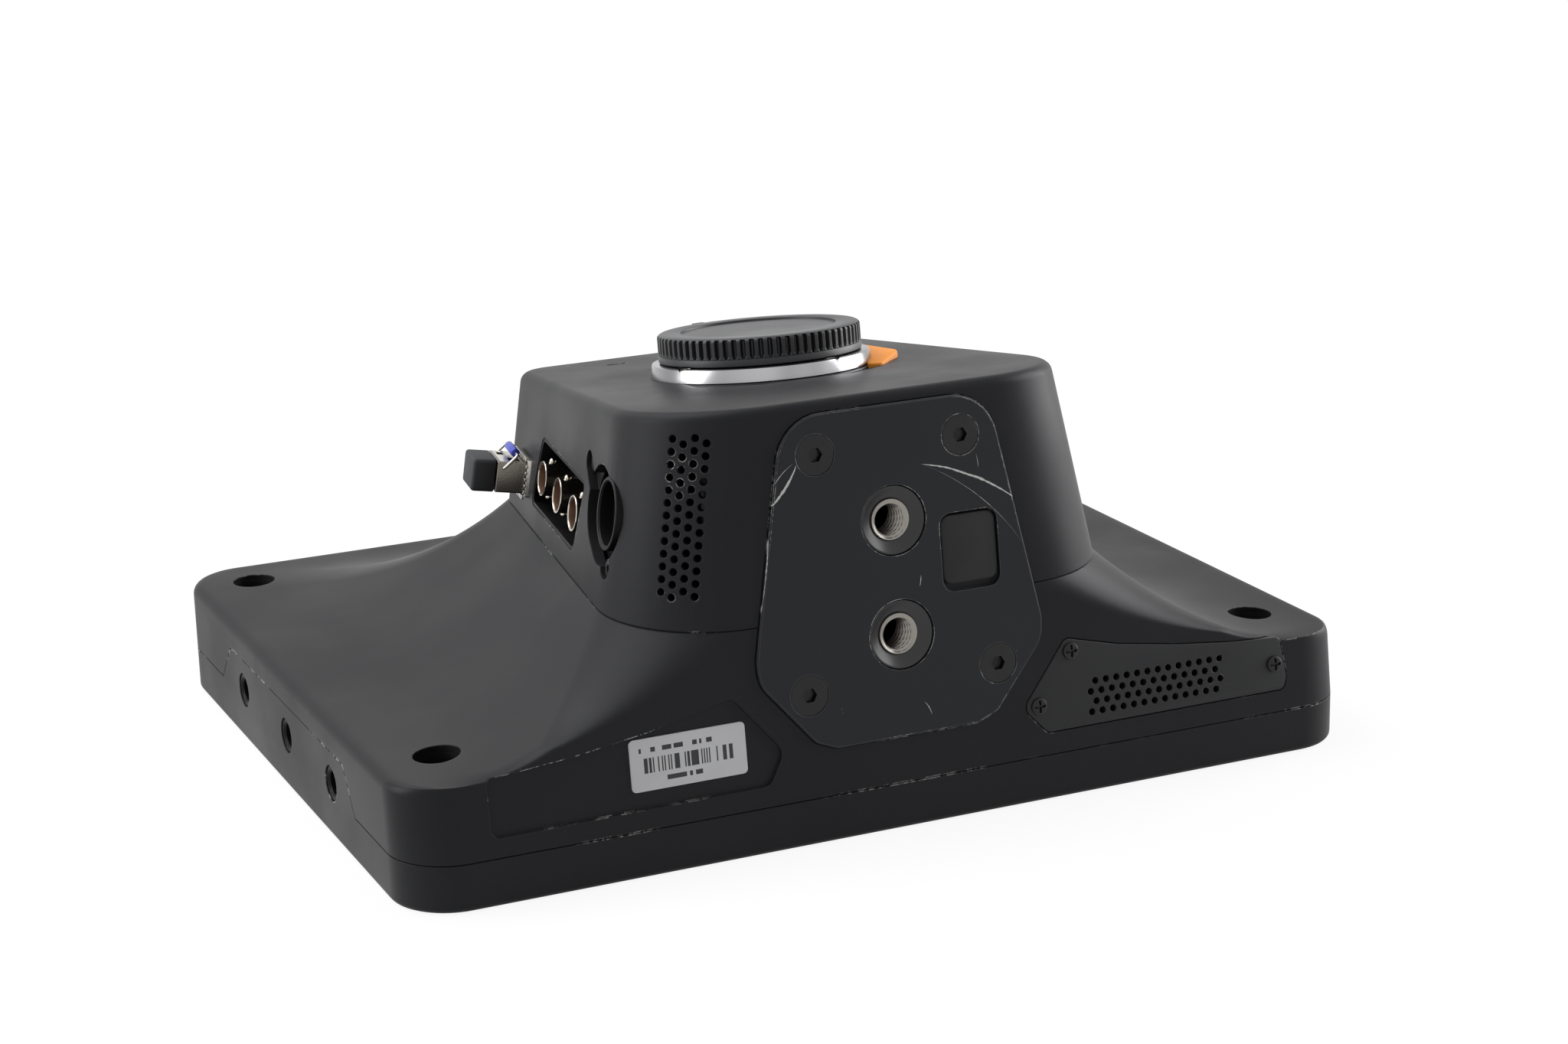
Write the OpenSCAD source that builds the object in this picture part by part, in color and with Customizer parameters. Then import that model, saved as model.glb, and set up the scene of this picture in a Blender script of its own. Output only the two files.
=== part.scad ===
// Studio camera lying on its screen, lens mount up.
// +Z is the screen's normal, +X runs along the long side, +Y points to the camera's top.
// The lens block leans back by a few degrees: its own axes are x, v (away) and w (along the lens).

/* [Screen housing] */
// Width of the screen housing
body_w = 268; // [240:1:300]
// Height of the screen housing, from the mounting plate side to the far side
body_d = 208; // [190:1:230]
// Radius of the housing's upright corners
corner_r = 16; // [10:0.5:20]
// Height of the front bezel up to the seam
seam_z = 12.4; // [11.8:0.1:14]
// Height of the flat back of the housing
slab_h = 31.5; // [30:0.5:34]
// Wall of the rear shell
shell_wall = 3; // [2.4:0.1:3.4]
// Rounding of the back edge
edge_r = 3; // [1:0.5:4]

/* [Lens block] */
// Lean of the lens block against the screen's normal, in degrees
tilt = 7.5; // [5:0.1:9]
// Height of the seam between the flared shell and the lens block
core_seam_z = 57.8; // [55:0.1:60]
// Half width of the lens block at the seam, on the mounting plate side
core_near_half = 73.2; // [70:0.1:76]
// Turn of the side faces, in degrees
side_yaw = 8; // [6:0.1:10]
// Draft of the side faces, in degrees
side_draft = 8.9; // [7:0.1:10]
// Height of the lens face along the lens axis
face_w = 99.1; // [97:0.1:102]
// Far end of the lens face
face_far_v = 38; // [34:0.5:42]
// Draft of the far face, as a slope
far_slope = 0.1; // [0:0.01:0.15]
// Radius of the near upright corners
near_corner_r = 30; // [24:0.5:32]
// Radius of the far upright corners
far_corner_r = 11; // [8:0.5:14]
// Wall of the lens block
core_wall = 3.2; // [2.8:0.1:3.6]
// Thickness of the lens face
face_t = 4; // [3.6:0.1:5]
// Bevel round the lens face
face_bevel = 2.6; // [1:0.1:3]

/* [Lens mount] */
// Position of the lens axis from the middle of the screen
lens_v = -29.8; // [-32:0.1:-27]
// Radius of the raised dish round the mount
dish_r = 44; // [42:0.5:46]
// Height of the raised dish
dish_h = 0.8; // [0.5:0.1:1]
// Radius of the dark spacer ring
spacer_r = 33; // [32:0.1:33.5]
// Height of the dark spacer ring
spacer_h = 1; // [0.8:0.1:1.2]
// Radius of the mount ring
mount_r = 30; // [29.5:0.1:31]
// Height of the mount ring's flange
mount_h = 1.8; // [1.6:0.1:2.2]
// Radius of the lens throat
throat_r = 20.5; // [20:0.1:21]
// Distance from the mount face to the sensor
flange_depth = 19.25; // [19:0.05:19.5]
// Radius of the body cap
cap_r = 28.4; // [28:0.1:28.8]
// Height of the body cap
cap_h = 7.4; // [7:0.1:8]
// Number of grip ribs on the cap
cap_ribs = 72; // [48:1:80]
// Travel of the lens release
release_travel = 1.5; // [1:0.1:1.6]

/* [Screen] */
// Border beside the picture, to the side of the housing
screen_side = 25.5; // [24:0.5:29]
// Height of the picture
screen_d = 136; // [130:0.5:140]
// Thickness of the cover glass
glass_t = 2; // [1.6:0.1:2.4]
// Thickness of the display panel, and of the backlight
panel_t = 3; // [2.6:0.1:3.2]
// Travel of a menu button
button_travel = 1.2; // [0.6:0.1:1.3]
// Radius of a menu button
button_r = 4.4; // [4:0.1:4.5]

/* [Mounting plate] */
// Thickness of the mounting plate
plate_t = 3.2; // [3:0.1:3.4]
// How far the plate stands out of the wall
plate_proud = 1; // [0.6:0.1:1.2]
// Half width of the plate at its widest
plate_half = 40.2; // [39:0.1:41]
// Lower end of the plate
plate_low = 10.9; // [10:0.1:12]
// Upper end of the plate
plate_high = 95.9; // [95:0.1:96.5]
// Height of the upper threaded hole
thread_high = 66.4; // [65:0.1:67]
// Height of the lower threaded hole
thread_low = 37.1; // [36:0.1:38]
// Minor radius of the 3/8 inch thread
thread_r = 4.05; // [4:0.01:4.1]
// Radius of a threaded bush's flange
bush_r = 8.9; // [8.5:0.1:9]
// Head radius of a plate screw
plate_head_r = 5.2; // [5:0.1:5.4]
// Shank radius of a plate screw
plate_shank_r = 2.4; // [2:0.1:2.5]

/* [Connectors] */
// Distance between the video sockets
bnc_pitch = 18.2; // [18:0.1:18.5]
// Place of the middle video socket along the side
bnc_y = -11.9; // [-13:0.1:-11]
// Height of the video sockets
bnc_z = 73.4; // [73:0.1:74]
// Outer radius of a video socket
bnc_r = 4.8; // [4.7:0.05:4.9]
// Place of the round power socket along the side
xlr_y = -62.5; // [-63.5:0.1:-61.5]
// Height of the round power socket
xlr_z = 82; // [81:0.1:83]
// Inner radius of the round power socket
xlr_r = 8.1; // [7.8:0.1:8.2]
// Place of the fibre module along the side
sfp_y = 26.8; // [26:0.1:27.5]
// Height of the fibre module
sfp_z = 69.7; // [69:0.1:70.5]
// Width of the fibre module
sfp_w = 13.4; // [13:0.1:13.6]
// Height of the fibre module
sfp_h = 8.8; // [8.5:0.1:9]
// How far the fibre module stands out
sfp_out = 9.2; // [8.6:0.1:9.8]
// Height of the audio sockets
jack_z = 15.2; // [15:0.1:15.6]
// Bore radius of an audio socket
jack_r = 3.2; // [3.1:0.05:3.3]

/* [Fan] */
// Side of the fan's frame
fan_side = 50; // [46:0.5:50]
// Height of the fan's frame
fan_h = 11; // [10:0.1:11.5]
// Number of fan blades
fan_blades = 7; // [5:1:9]

/* [Hidden] */
$fn = 48;

// Shared clearances and overruns
over = 1;
fit = 0.1;
gap = 0.3;
board_t = 1.6;
screw_fit = 0.1;
thin = 0.01;
fine = 96;
coarse = 32;
screw_socket_share = 0.6;

// Places in the lens block's own axes
base_drop = 8;
wall_v = -body_d / 2 * cos(tilt) - seam_z * sin(tilt);
seam_w = (core_seam_z + wall_v * sin(tilt)) / cos(tilt);
base_w = seam_w - base_drop;
face_n = [-cos(side_draft) * cos(side_yaw), cos(side_draft) * sin(side_yaw), sin(side_draft)];
face_nv = face_n[1] * cos(tilt) - face_n[2] * sin(tilt);
face_nw = face_n[1] * sin(tilt) + face_n[2] * cos(tilt);
side_kv = face_nv / -face_n[0];
side_kw = face_nw / -face_n[0];
near_y = wall_v * cos(tilt) + seam_w * sin(tilt);
flange_w = face_w + dish_h + spacer_h + mount_h;
sensor_w = flange_w - flange_depth;
spacer_w = face_w + dish_h;
ring_w = spacer_w + spacer_h;

// Half width of the block at a place in its own axes
function block_half(v, w) = core_near_half - side_kv * (v - wall_v) - side_kw * (w - seam_w);
// The side face's x at a place in the screen's axes
function side_x(y, z) = core_near_half - face_n[1] / -face_n[0] * (y - near_y)
    - face_n[2] / -face_n[0] * (z - core_seam_z);
// Middle of a corner's rounding, for a corner of the block at height w
function near_post(w) = [block_half(wall_v + near_corner_r, w) - near_corner_r * norm([1, side_kv]),
    wall_v + near_corner_r];
function far_v(w) = face_far_v + far_slope * (face_w - w);
function far_post(w) = [block_half(far_v(w) - far_corner_r, w) - far_corner_r * norm([1, side_kv]),
    far_v(w) - far_corner_r];

module in_block() {
    rotate([-tilt, 0, 0]) children();
}

// Children face outward along +X, with +Y to the near side and +Z up the left face
module on_left(y, z) {
    translate([-side_x(y, z), y, z]) rotate([0, 0, 180 - side_yaw]) rotate([0, -side_draft, 0])
        children();
}

// Children stand on the near wall: +X along the wall, +Y up it, +Z out of it
module on_near(x, w) {
    in_block() translate([x, wall_v, w]) rotate([90, 0, 0]) children();
}

module rounded_plate(size, r) {
    translate([r - size[0] / 2, r - size[1] / 2]) square([size[0] - 2 * r, size[1] - 2 * r]);
    for (sx = [-1, 1], sy = [-1, 1])
        translate([sx * (size[0] / 2 - r), sy * (size[1] / 2 - r)]) circle(r);
    square([size[0], size[1] - 2 * r], center = true);
    square([size[0] - 2 * r, size[1]], center = true);
}

module slab_box(size, r) {
    linear_extrude(size[2]) rounded_plate(size, r);
}

module above(z) {
    translate([-body_w, -body_d, z]) cube([2 * body_w, 2 * body_d, 2 * body_w]);
}

// Flared shell: level outlines from the seam of the lens block down to the slab's edge
flare_power = 3;
flare_steps = 12;
corner_steps = 7;
slab_near_half = body_w / 2;
screen_w = body_w - 2 * screen_side;
step_power = 1.5;
flare_shares = [for (i = [0 : flare_steps]) pow(i / flare_steps, step_power)];
far_seam_v = (face_far_v + far_slope * (face_w - core_seam_z / cos(tilt))) / (1 + far_slope * tan(tilt));
far_seam_y = far_seam_v / cos(tilt) + core_seam_z * tan(tilt);
radius_fade_share = 0.48;
least_corner_r = 4;
corner_back_share = 0.62;

function flare_z(t) = slab_h + (core_seam_z - slab_h) * pow(1 - t, flare_power);
function mix(a, b, t) = a + (b - a) * t;
function wall_y(z) = (wall_v + max(z, seam_z) * sin(tilt)) / cos(tilt);
function near_r(t) = t < corner_back_share ? max(least_corner_r,
    near_corner_r * (1 - t / radius_fade_share))
    : mix(least_corner_r, corner_r, (t - corner_back_share) / (1 - corner_back_share));

// One level outline: near half width, far half width, near y, far y, two radii and the height
function outline(nh, fh, ny, fy, nr, fr, z) =
    let (k = (nh - fh) / (fy - ny), lean = atan(k), g = norm([1, k]))
    [for (q = [0 : 3], i = [0 : corner_steps])
        let (sx = q == 0 || q == 3 ? 1 : -1, near = q > 1, r = near ? nr : fr,
            cx = near ? nh - r * (k + g) : fh + r * (k - g), cy = near ? ny + r : fy - r,
            a = mix([lean, 90, 180 - lean, 270][q], [90, 180 - lean, 270, 360 + lean][q],
                i / corner_steps))
        [sx * cx + r * cos(a), cy + r * sin(a), z]];

function flare_ring(t, inset) =
    let (z = flare_z(t) - inset * min(1, t * flare_steps / 2))
    outline(mix(core_near_half, slab_near_half - edge_r * (t > 1 - 1 / flare_steps ? 1 : 0), t) - inset,
        mix(side_x(far_seam_y, core_seam_z), slab_near_half - edge_r * (t > 1 - 1 / flare_steps ? 1 : 0),
            t) - inset,
        wall_y(z) + inset, mix(far_seam_y, body_d / 2 - edge_r * (t > 1 - 1 / flare_steps ? 1 : 0),
            t) - inset,
        max(least_corner_r / 2, near_r(t) - inset),
            max(least_corner_r / 2, mix(far_corner_r, corner_r, t) - inset), z);

function slab_ring(z, edge_in, inset) =
    outline(slab_near_half - edge_in - inset, slab_near_half - edge_in - inset, wall_y(z) + inset,
        body_d / 2 - edge_in - inset, corner_r - edge_in - inset, corner_r - edge_in - inset, z);

module loft(rings) {
    n = len(rings[0]);
    m = len(rings);
    points = [for (r = rings, p = r) p];
    sides = [for (j = [0 : m - 2], i = [0 : n - 1], k = [0, 1])
        let (a = j * n + i, b = j * n + (i + 1) % n)
        k == 0 ? [a, b + n, b] : [a, a + n, b + n]];
    polyhedron(points, concat(sides, [[for (i = [0 : n - 1]) i]],
        [[for (i = [n - 1 : -1 : 0]) (m - 1) * n + i]]));
}

module shell_form(inset, low, high) {
    edge_share = 0.3;
    loft(concat(
        [slab_ring(low, 0, inset)],
        [slab_ring(slab_h - edge_r - inset, 0, inset)],
        [slab_ring(slab_h - edge_r * edge_share - inset, edge_r * edge_share, inset)],
        [for (i = [flare_steps : -1 : 0]) flare_ring(flare_shares[i], inset)],
        high > 0 ? [[for (p = flare_ring(0, inset)) [p[0], p[1], p[2] + high]]] : []
    ));
}

// Corner screw wells of the slab
well_r = 6;
well_x = 117;
well_near_y = -78;
well_far_y = 86;
well_depth = 7;
well_wall = 1.8;
well_screw_r = 1.9;
well_head_r = 3.2;
well_head_h = 2.2;
well_socket_r = 1.3;
well_places = [[-well_x, well_near_y], [well_x, well_near_y], [-well_x, well_far_y],
    [well_x, well_far_y]];

// Covers on the near wall
cover_depth = 1.6;
cover_t = 1.8;
cover_low = 4.6;
cover_points = [[47.5, 28.9], [62, 25.2], [80, 22.3], [96, 20.4], [111.6, 19.4], [113.3, 7.8],
    [112.1, cover_low], [40.1, cover_low], [34.3, 10.9], [34.1, 13.3], [46.1, 28.3]];
label_points = [[-112.5, 18.5], [-90, 20.4], [-70, 23.2], [-55, 26.6], [-47.4, 28.2], [-34.3, 12.5],
    [-38.8, 4.4], [-112.3, 3.9]];
label_depth = 0.9;
cover_rows = 4;
cover_columns = 13;
cover_pitch = 3.14;
cover_row_pitch = 2.7;
cover_first = [54.9, 16.3];
cover_stagger = 1.5;
vent_r = 0.85;
cover_screw_points = [[48.1, 25.3], [37.9, 12.2], [109.4, 12.1]];
cover_screw_r = 1.6;
cover_head_r = 2.4;
speaker_size = [42, 12, 6];
speaker_at = [74, 12.4];

// Port tab and audio sockets on the left wall
tab_low = [-61.9, 61.8];
tab_high = [-53.4, 51.5];
tab_top = 24;
jack_places = [39.5, -1.9, -42.1];
jack_body = [15, 11.6, 11.6];
jack_rim_r = 4.7;
tab_depth = shell_wall;

module tab_outline(grow) {
    polygon([[tab_low[0] - grow, seam_z], [tab_high[0] - grow, tab_top + grow],
        [tab_high[1] + grow, tab_top + grow], [tab_low[1] + grow, seam_z]]);
}

module tab_block(grow, depth) {
    translate([-body_w / 2 - (grow > 0 ? over : 0), 0, 0])
        rotate([90, 0, 90]) linear_extrude(depth + (grow > 0 ? over : 0)) tab_outline(grow);
}

// Slot in the far edge of the slab
far_slot = [27, 2.4, 1.8];
far_slot_x = -74.5;

// Mounting plate outline on the near wall
plate_width_shares = [0.5, 0.64, 0.99, 1, 0.75, 0.54];
plate_level_shares = [0, 0.027, 0.224, 0.294, 0.906, 1];
plate_side = [for (i = [0 : 5]) [plate_width_shares[i] * plate_half,
    mix(plate_low, plate_high, plate_level_shares[i])]];
plate_screw_places = [[-20.2, 85.6], [20.2, 85.6], [-26.6, 25.6], [26.6, 25.6]];
plate_in = plate_t - plate_proud;
usb_size = [15.8, 18];
usb_at = [20.8, 56.6];
usb_r = 3;
usb_t = 1.6;
usb_sunk = 0.4;
notch_r = 4;
notch_share = 0.2;

module plate_outline(grow) {
    offset(delta = grow) polygon(concat(plate_side, [for (i = [len(plate_side) - 1 : -1 : 0])
        [-plate_side[i][0], plate_side[i][1]]]));
}

module rear_shell() {
    color([0.31, 0.31, 0.33]) difference() {
        union() {
            difference() {
                shell_form(0, seam_z, 0);
                shell_form(shell_wall, seam_z - over, over);
            }
            for (p = well_places) translate([p[0], p[1], seam_z])
                cylinder(r = well_r + well_wall, h = slab_h - shell_wall / 2 - seam_z);
        }
        for (p = well_places) translate([p[0], p[1], 0]) {
            translate([0, 0, slab_h - well_depth]) cylinder(r = well_r, h = well_depth + over);
            translate([0, 0, seam_z - over]) cylinder(r = well_screw_r + screw_fit, h = slab_h);
        }
        tab_block(fit, shell_wall + over);
        on_near(0, 0) translate([0, 0, -plate_in]) linear_extrude(plate_in + over) plate_outline(fit);
        on_near(0, thread_low) translate([0, 0, -shell_wall - over])
            cylinder(r = bush_body_r + fit, h = shell_wall + 2 * over);
        for (p = [plate_screw_places[2], plate_screw_places[3]]) on_near(p[0], p[1])
            translate([0, 0, -shell_wall - over])
                cylinder(r = plate_shank_r + screw_fit, h = shell_wall + 2 * over);
        on_near(0, 0) translate([0, 0, -cover_depth]) linear_extrude(cover_depth + over)
            polygon(cover_points);
        on_near(0, 0) translate([0, 0, -label_depth]) linear_extrude(label_depth + over)
            polygon(label_points);
        on_near(speaker_at[0], speaker_at[1]) translate([0, 0, -shell_wall - over])
            linear_extrude(shell_wall + over)
                square([speaker_size[0], speaker_size[1]] - [gap, gap], center = true);
        for (p = cover_screw_points) on_near(p[0], p[1]) translate([0, 0, -shell_wall - over])
            cylinder(r = cover_screw_r + screw_fit, h = shell_wall + 2 * over);
        translate([far_slot_x, body_d / 2 - far_slot[1], slab_h - edge_r - far_slot[2]])
            translate([-far_slot[0] / 2, 0, 0]) cube([far_slot[0], far_slot[1] + over, far_slot[2]]);
    }
}

// Solid of the lens block in its own axes
module block_form(inset, top) {
    drop_shares = [0, 0.4, 1];
    inset_shares = [1, 0.3, 0, 0];
    hull() for (sx = [-1, 1], far = [0, 1], k = [0 : 3]) {
        w = k == 3 ? base_w - inset : top - face_bevel * drop_shares[k];
        c = far == 1 ? far_post(w) : near_post(w);
        r = (far == 1 ? far_corner_r : near_corner_r) - inset - face_bevel * inset_shares[k];
        translate([sx * c[0], c[1], w]) cylinder(r = r, h = thin, $fn = coarse);
    }
}

vent_columns = 4;
vent_rows = 13;
vent_pitch = 3.12;
vent_first_angle = 29;
vent_angle = 5.7;
vent_low = 54;
vent_stagger = 1.4;
mic_places = [[-22.2, 20.8], [22.2, 20.8]];
mic_r = 2.5;
mic_h = 3;
mic_slot = [6, 1.4];
bnc_box = [52, 20, 6];
bnc_box_at = [-12.7, 74.3];
bnc_wall = 1.2;
scoop_r = 11.6;
scoop_long = 3.6;
scoop_shift = [-4.2, -1.5];
ear_places = [[-17.3, 13.3], [5.1, -13.2]];
ear_r = 2.9;
ear_arm = 4;
xlr_screw_r = 1.4;
xlr_head_r = 2.4;
cage_t = 0.5;
cage_gap = 0.25;
cage_len = 31;
sfp_hole = [sfp_w + 2 * (cage_t + cage_gap), sfp_h + 2 * (cage_t + cage_gap)];
release_arc = [-50, 12];
release_gap = 0.6;
release_width = 7.4;
release_in_r = spacer_r + release_gap;
release_out_r = release_in_r + release_width;
release_depth = 3.4;
release_post_r = 1.6;
release_post_in = 3.4;
release_post_at = [release_in_r + release_post_in, -19];
pin_r = 0.9;
pin_at = [24.2, -19];
bush_body_r = 6.5;

module pie(r, a0, a1) {
    steps = 8;
    polygon(concat([[0, 0]], [for (i = [0 : steps])
        let (a = mix(a0, a1, i / steps)) 2 * r * [cos(a), sin(a)]]));
}

module arc_piece(r0, r1, a0, a1, h) {
    linear_extrude(h) intersection() {
        difference() {
            circle(r1);
            circle(r0);
        }
        pie(r1, a0, a1);
    }
}

module at_lens(w) {
    in_block() translate([0, lens_v, w]) children();
}

module at_angle(p) {
    rotate([0, 0, p[1]]) translate([p[0], 0, 0]) children();
}

module vent_holes() {
    for (c = [0 : vent_columns - 1], r = [0 : vent_rows - 1]) {
        w = vent_low + vent_pitch * r + vent_stagger * (c % 2);
        p = near_post(w);
        in_block() translate([-p[0], p[1], w])
            rotate([0, 0, -90 - vent_first_angle - vent_angle * c]) rotate([0, 90, 0])
                translate([0, 0, near_corner_r - core_wall - over])
                    cylinder(r = vent_r, h = core_wall + 2 * over);
    }
}

module core_housing() {
    color([0.33, 0.33, 0.35]) difference() {
        union() {
            intersection() {
                in_block() block_form(0, face_w);
                above(core_seam_z);
            }
            at_lens(face_w - over) cylinder(r = dish_r, h = dish_h + over, $fn = fine);
        }
        in_block() block_form(core_wall, face_w - face_t);
        at_lens(face_w - face_t - over) cylinder(r = mount_sleeve_r + fit,
            h = face_t + dish_h + 2 * over);
        at_lens(face_w + dish_h - release_depth)
            arc_piece(release_in_r - gap, release_out_r + gap, release_arc[0] - 1, release_arc[1] + 1,
                release_depth + over);
        at_lens(face_w - face_t - over) {
            at_angle(release_post_at) cylinder(r = release_post_r + gap, h = face_t + over);
            for (a = mount_screw_angles) at_angle([mount_screw_at, a])
                cylinder(r = mount_screw_r + screw_fit, h = face_t + dish_h + 2 * over);
        }
        for (p = mic_places) in_block() translate([p[0], p[1], face_w - face_t - over])
            linear_extrude(face_t + 2 * over) square(mic_slot, center = true);
        vent_holes();
        on_near(0, 0) translate([0, 0, -plate_in]) linear_extrude(plate_in + over) plate_outline(fit);
        on_near(0, thread_high) translate([0, 0, -core_wall - over])
            cylinder(r = bush_body_r + fit, h = core_wall + 2 * over);
        for (p = [plate_screw_places[0], plate_screw_places[1]]) on_near(p[0], p[1])
            translate([0, 0, -core_wall - over])
                cylinder(r = plate_shank_r + screw_fit, h = core_wall + 2 * over);
        on_near(usb_at[0], usb_at[1]) translate([0, 0, -core_wall - over])
            linear_extrude(core_wall + 2 * over) rounded_plate(usb_size - [usb_r, usb_r], usb_r / 2);
        on_left(bnc_box_at[0], bnc_box_at[1]) translate([-core_wall - over, 0, 0])
            rotate([90, 0, 90]) linear_extrude(core_wall + 2 * over) bnc_outline(fit);
        on_left(xlr_y, xlr_z) {
            translate([-core_wall - over, 0, 0]) rotate([90, 0, 90]) linear_extrude(core_wall + 3 * over)
                scoop_outline(0);
            translate([-core_wall - flange_drop - flange_t - fit, 0, 0]) rotate([0, 90, 0])
                cylinder(r = xlr_r + xlr_wall + over + fit, h = flange_drop + flange_t);
            for (p = ear_places) translate([-core_wall - over, p[0], p[1]]) rotate([0, 90, 0]) {
                cylinder(r = xlr_screw_r + screw_fit, h = core_wall + 3 * over);
                translate([0, 0, core_wall]) cylinder(r = ear_r, h = 3 * over);
                translate([0, 0, over - flange_drop - flange_t - fit])
                    cylinder(r = ear_r + fit, h = flange_t + 2 * fit);
            }
        }
        on_left(sfp_y, sfp_z) translate([-core_wall - over, 0, 0]) rotate([90, 0, 90])
            linear_extrude(core_wall + 3 * over) square(sfp_hole + [2 * fit, 2 * fit], center = true);
    }
}

// Level parallelogram of the video sockets, with one clipped corner
module bnc_outline(grow) {
    clip = 3.4;
    x = bnc_box[0] / 2 + grow;
    y = bnc_box[1] / 2 + grow;
    lean = 2.6;
    polygon([[-x + lean, y - clip], [-x + lean + clip, y], [x + lean, y], [x - lean, -y],
        [-x - lean, -y]]);
}

module scoop_outline(grow) {
    translate(scoop_shift) for (s = [-1, 1])
        translate([s * scoop_long / 2, -s * scoop_long / 4]) circle(scoop_r + grow);
    circle(xlr_r + xlr_wall + fit + grow);
}

bezel_plate = 3.5;
lip_t = 1.5;
glass_edge = [9, 8];
panel_edge = [9, 7];
glass_size = [screen_w + glass_edge[0], screen_d + glass_edge[1]];
panel_size = [screen_w + panel_edge[0], screen_d + panel_edge[1]];
bezel_ease = 1;
button_edge = 13.5;
button_x = body_w / 2 - button_edge;
button_ys = [-44, -2, 40];
button_places = [for (sx = [-1, 1], y = button_ys) [sx * button_x, y]];
board_post_r = 1.6;
board_post_y = [-23, 19];
frame_post_r = 2.4;
frame_post_x = body_w / 2 - shell_wall - frame_post_r - over;
button_board_z = 6.9;
button_board = [8.6, 106, 1.2];

module screen_bezel() {
    color([0.17, 0.17, 0.18]) difference() {
        union() {
            difference() {
                loft([slab_ring(0, bezel_ease, 0), slab_ring(bezel_ease, 0, 0), slab_ring(seam_z, 0, 0)]);
                loft([slab_ring(bezel_plate, 0, shell_wall), slab_ring(seam_z + over, 0, shell_wall)]);
            }
            tab_block(0, tab_depth);
            for (p = well_places) translate([p[0], p[1], over]) cylinder(r = well_r, h = seam_z - over);
            for (sx = [-1, 1], y = board_post_y) {
                translate([sx * frame_post_x, y, over]) cylinder(r = frame_post_r, h = seam_z - over);
                translate([sx * button_x, y, over]) cylinder(r = board_post_r, h = button_board_z - over);
            }
        }
        translate([0, 0, -over]) slab_box([screen_w + 1, screen_d + 1, bezel_plate], over);
        translate([0, 0, lip_t]) slab_box([glass_size[0] + 2 * fit, glass_size[1] + 2 * fit,
            bezel_plate], over);
        for (p = well_places) translate([p[0], p[1], bezel_plate])
            cylinder(r = well_screw_r + screw_fit, h = seam_z);
        for (p = button_places) translate([p[0], p[1], -over])
            cylinder(r = button_r + gap, h = bezel_plate + 2 * over);
        for (y = jack_places) translate([-body_w / 2 - over, y, jack_z]) rotate([0, 90, 0])
            cylinder(r = jack_rim_r + fit, h = tab_depth + 2 * over);
    }
}

module lcd_glass() {
    color([0.05, 0.05, 0.06]) translate([0, 0, lip_t])
        slab_box([glass_size[0], glass_size[1], glass_t], over);
}

module lcd_panel() {
    color([0.1, 0.1, 0.12]) translate([0, 0, lip_t + glass_t])
        slab_box([panel_size[0], panel_size[1], panel_t], over);
}

module backlight() {
    color([0.8, 0.8, 0.82]) translate([0, 0, lip_t + glass_t + panel_t])
        slab_box([panel_size[0], panel_size[1], panel_t - gap], over);
}

display_board_size = [110, 36];

module display_board() {
    color([0.1, 0.35, 0.2]) translate([0, 0, lip_t + glass_t + 2 * panel_t - gap])
        slab_box([display_board_size[0], display_board_size[1], board_t], over);
}

frame_t = 2;
frame_size = [2 * (frame_post_x + frame_post_r), 146];
frame_mid_y = 4;
deck_w = 50;
deck_t = 2.4;
deck_half = 38;
column_r = 4;
column_places = [[-34, -70], [34, -70], [-34, 28], [34, 28]];
near_block = [60, 9.6, 78];
near_block_low = 13;
board_leg_r = 2.4;
board_leg_at = [29, 22];
board_leg_low = 14.4;
board_margin = 76;
board_edge = 54;
main_board_size = [body_w / 2 - board_margin, 104];
main_board_at = [board_edge - body_w / 2, 10];
main_leg_h = 4;
main_leg_in = 5;
main_leg_at = [main_board_size[0] / 2 - main_leg_in, 46];

module internal_frame() {
    color([0.6, 0.6, 0.62]) difference() {
        union() {
            translate([0, frame_mid_y, seam_z]) slab_box([frame_size[0], frame_size[1], frame_t], over);
            intersection() {
                above(seam_z + over);
                in_block() {
                    for (p = column_places) translate([p[0], p[1], 0])
                        cylinder(r = column_r, h = deck_w + over);
                    translate([-deck_half, wall_v + core_wall + gap, deck_w])
                        cube([2 * deck_half, column_places[2][1] - wall_v, deck_t]);
                    translate([-near_block[0] / 2, wall_v + core_wall + gap, near_block_low])
                        cube(near_block);
                    for (sx = [-1, 1], sy = [-1, 1])
                        translate([sx * board_leg_at[0], lens_v + sy * board_leg_at[1], deck_w])
                        cylinder(r = board_leg_r, h = board_low_w - deck_w);
                }
            }
            for (sx = [-1, 1], sy = [-1, 1])
                translate([main_board_at[0] + sx * main_leg_at[0],
                    main_board_at[1] + sy * main_leg_at[1], seam_z + over])
                    cylinder(r = board_leg_r, h = frame_t - over + main_leg_h);
        }
        for (y = jack_places) translate([-body_w / 2, y - jack_body[1] / 2 - over, 0])
            cube([jack_body[0] + shell_wall + over, jack_body[1] + 2 * over, 2 * seam_z]);
        for (p = [thread_low, thread_high]) on_near(0, p)
            translate([0, 0, -near_block[1] - core_wall - over])
            cylinder(r = bush_body_r + fit, h = near_block[1] + core_wall + over);
        for (p = plate_screw_places) on_near(p[0], p[1]) translate([0, 0, -near_block[1] - core_wall])
            cylinder(r = plate_shank_r + screw_fit, h = near_block[1] + core_wall);
        on_near(usb_at[0], usb_at[1]) translate([0, 0, -near_block[1] - core_wall - over])
            linear_extrude(near_block[1] + core_wall + over)
                square(usb_socket_size + [2 * fit, 2 * fit], center = true);
    }
}

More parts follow.
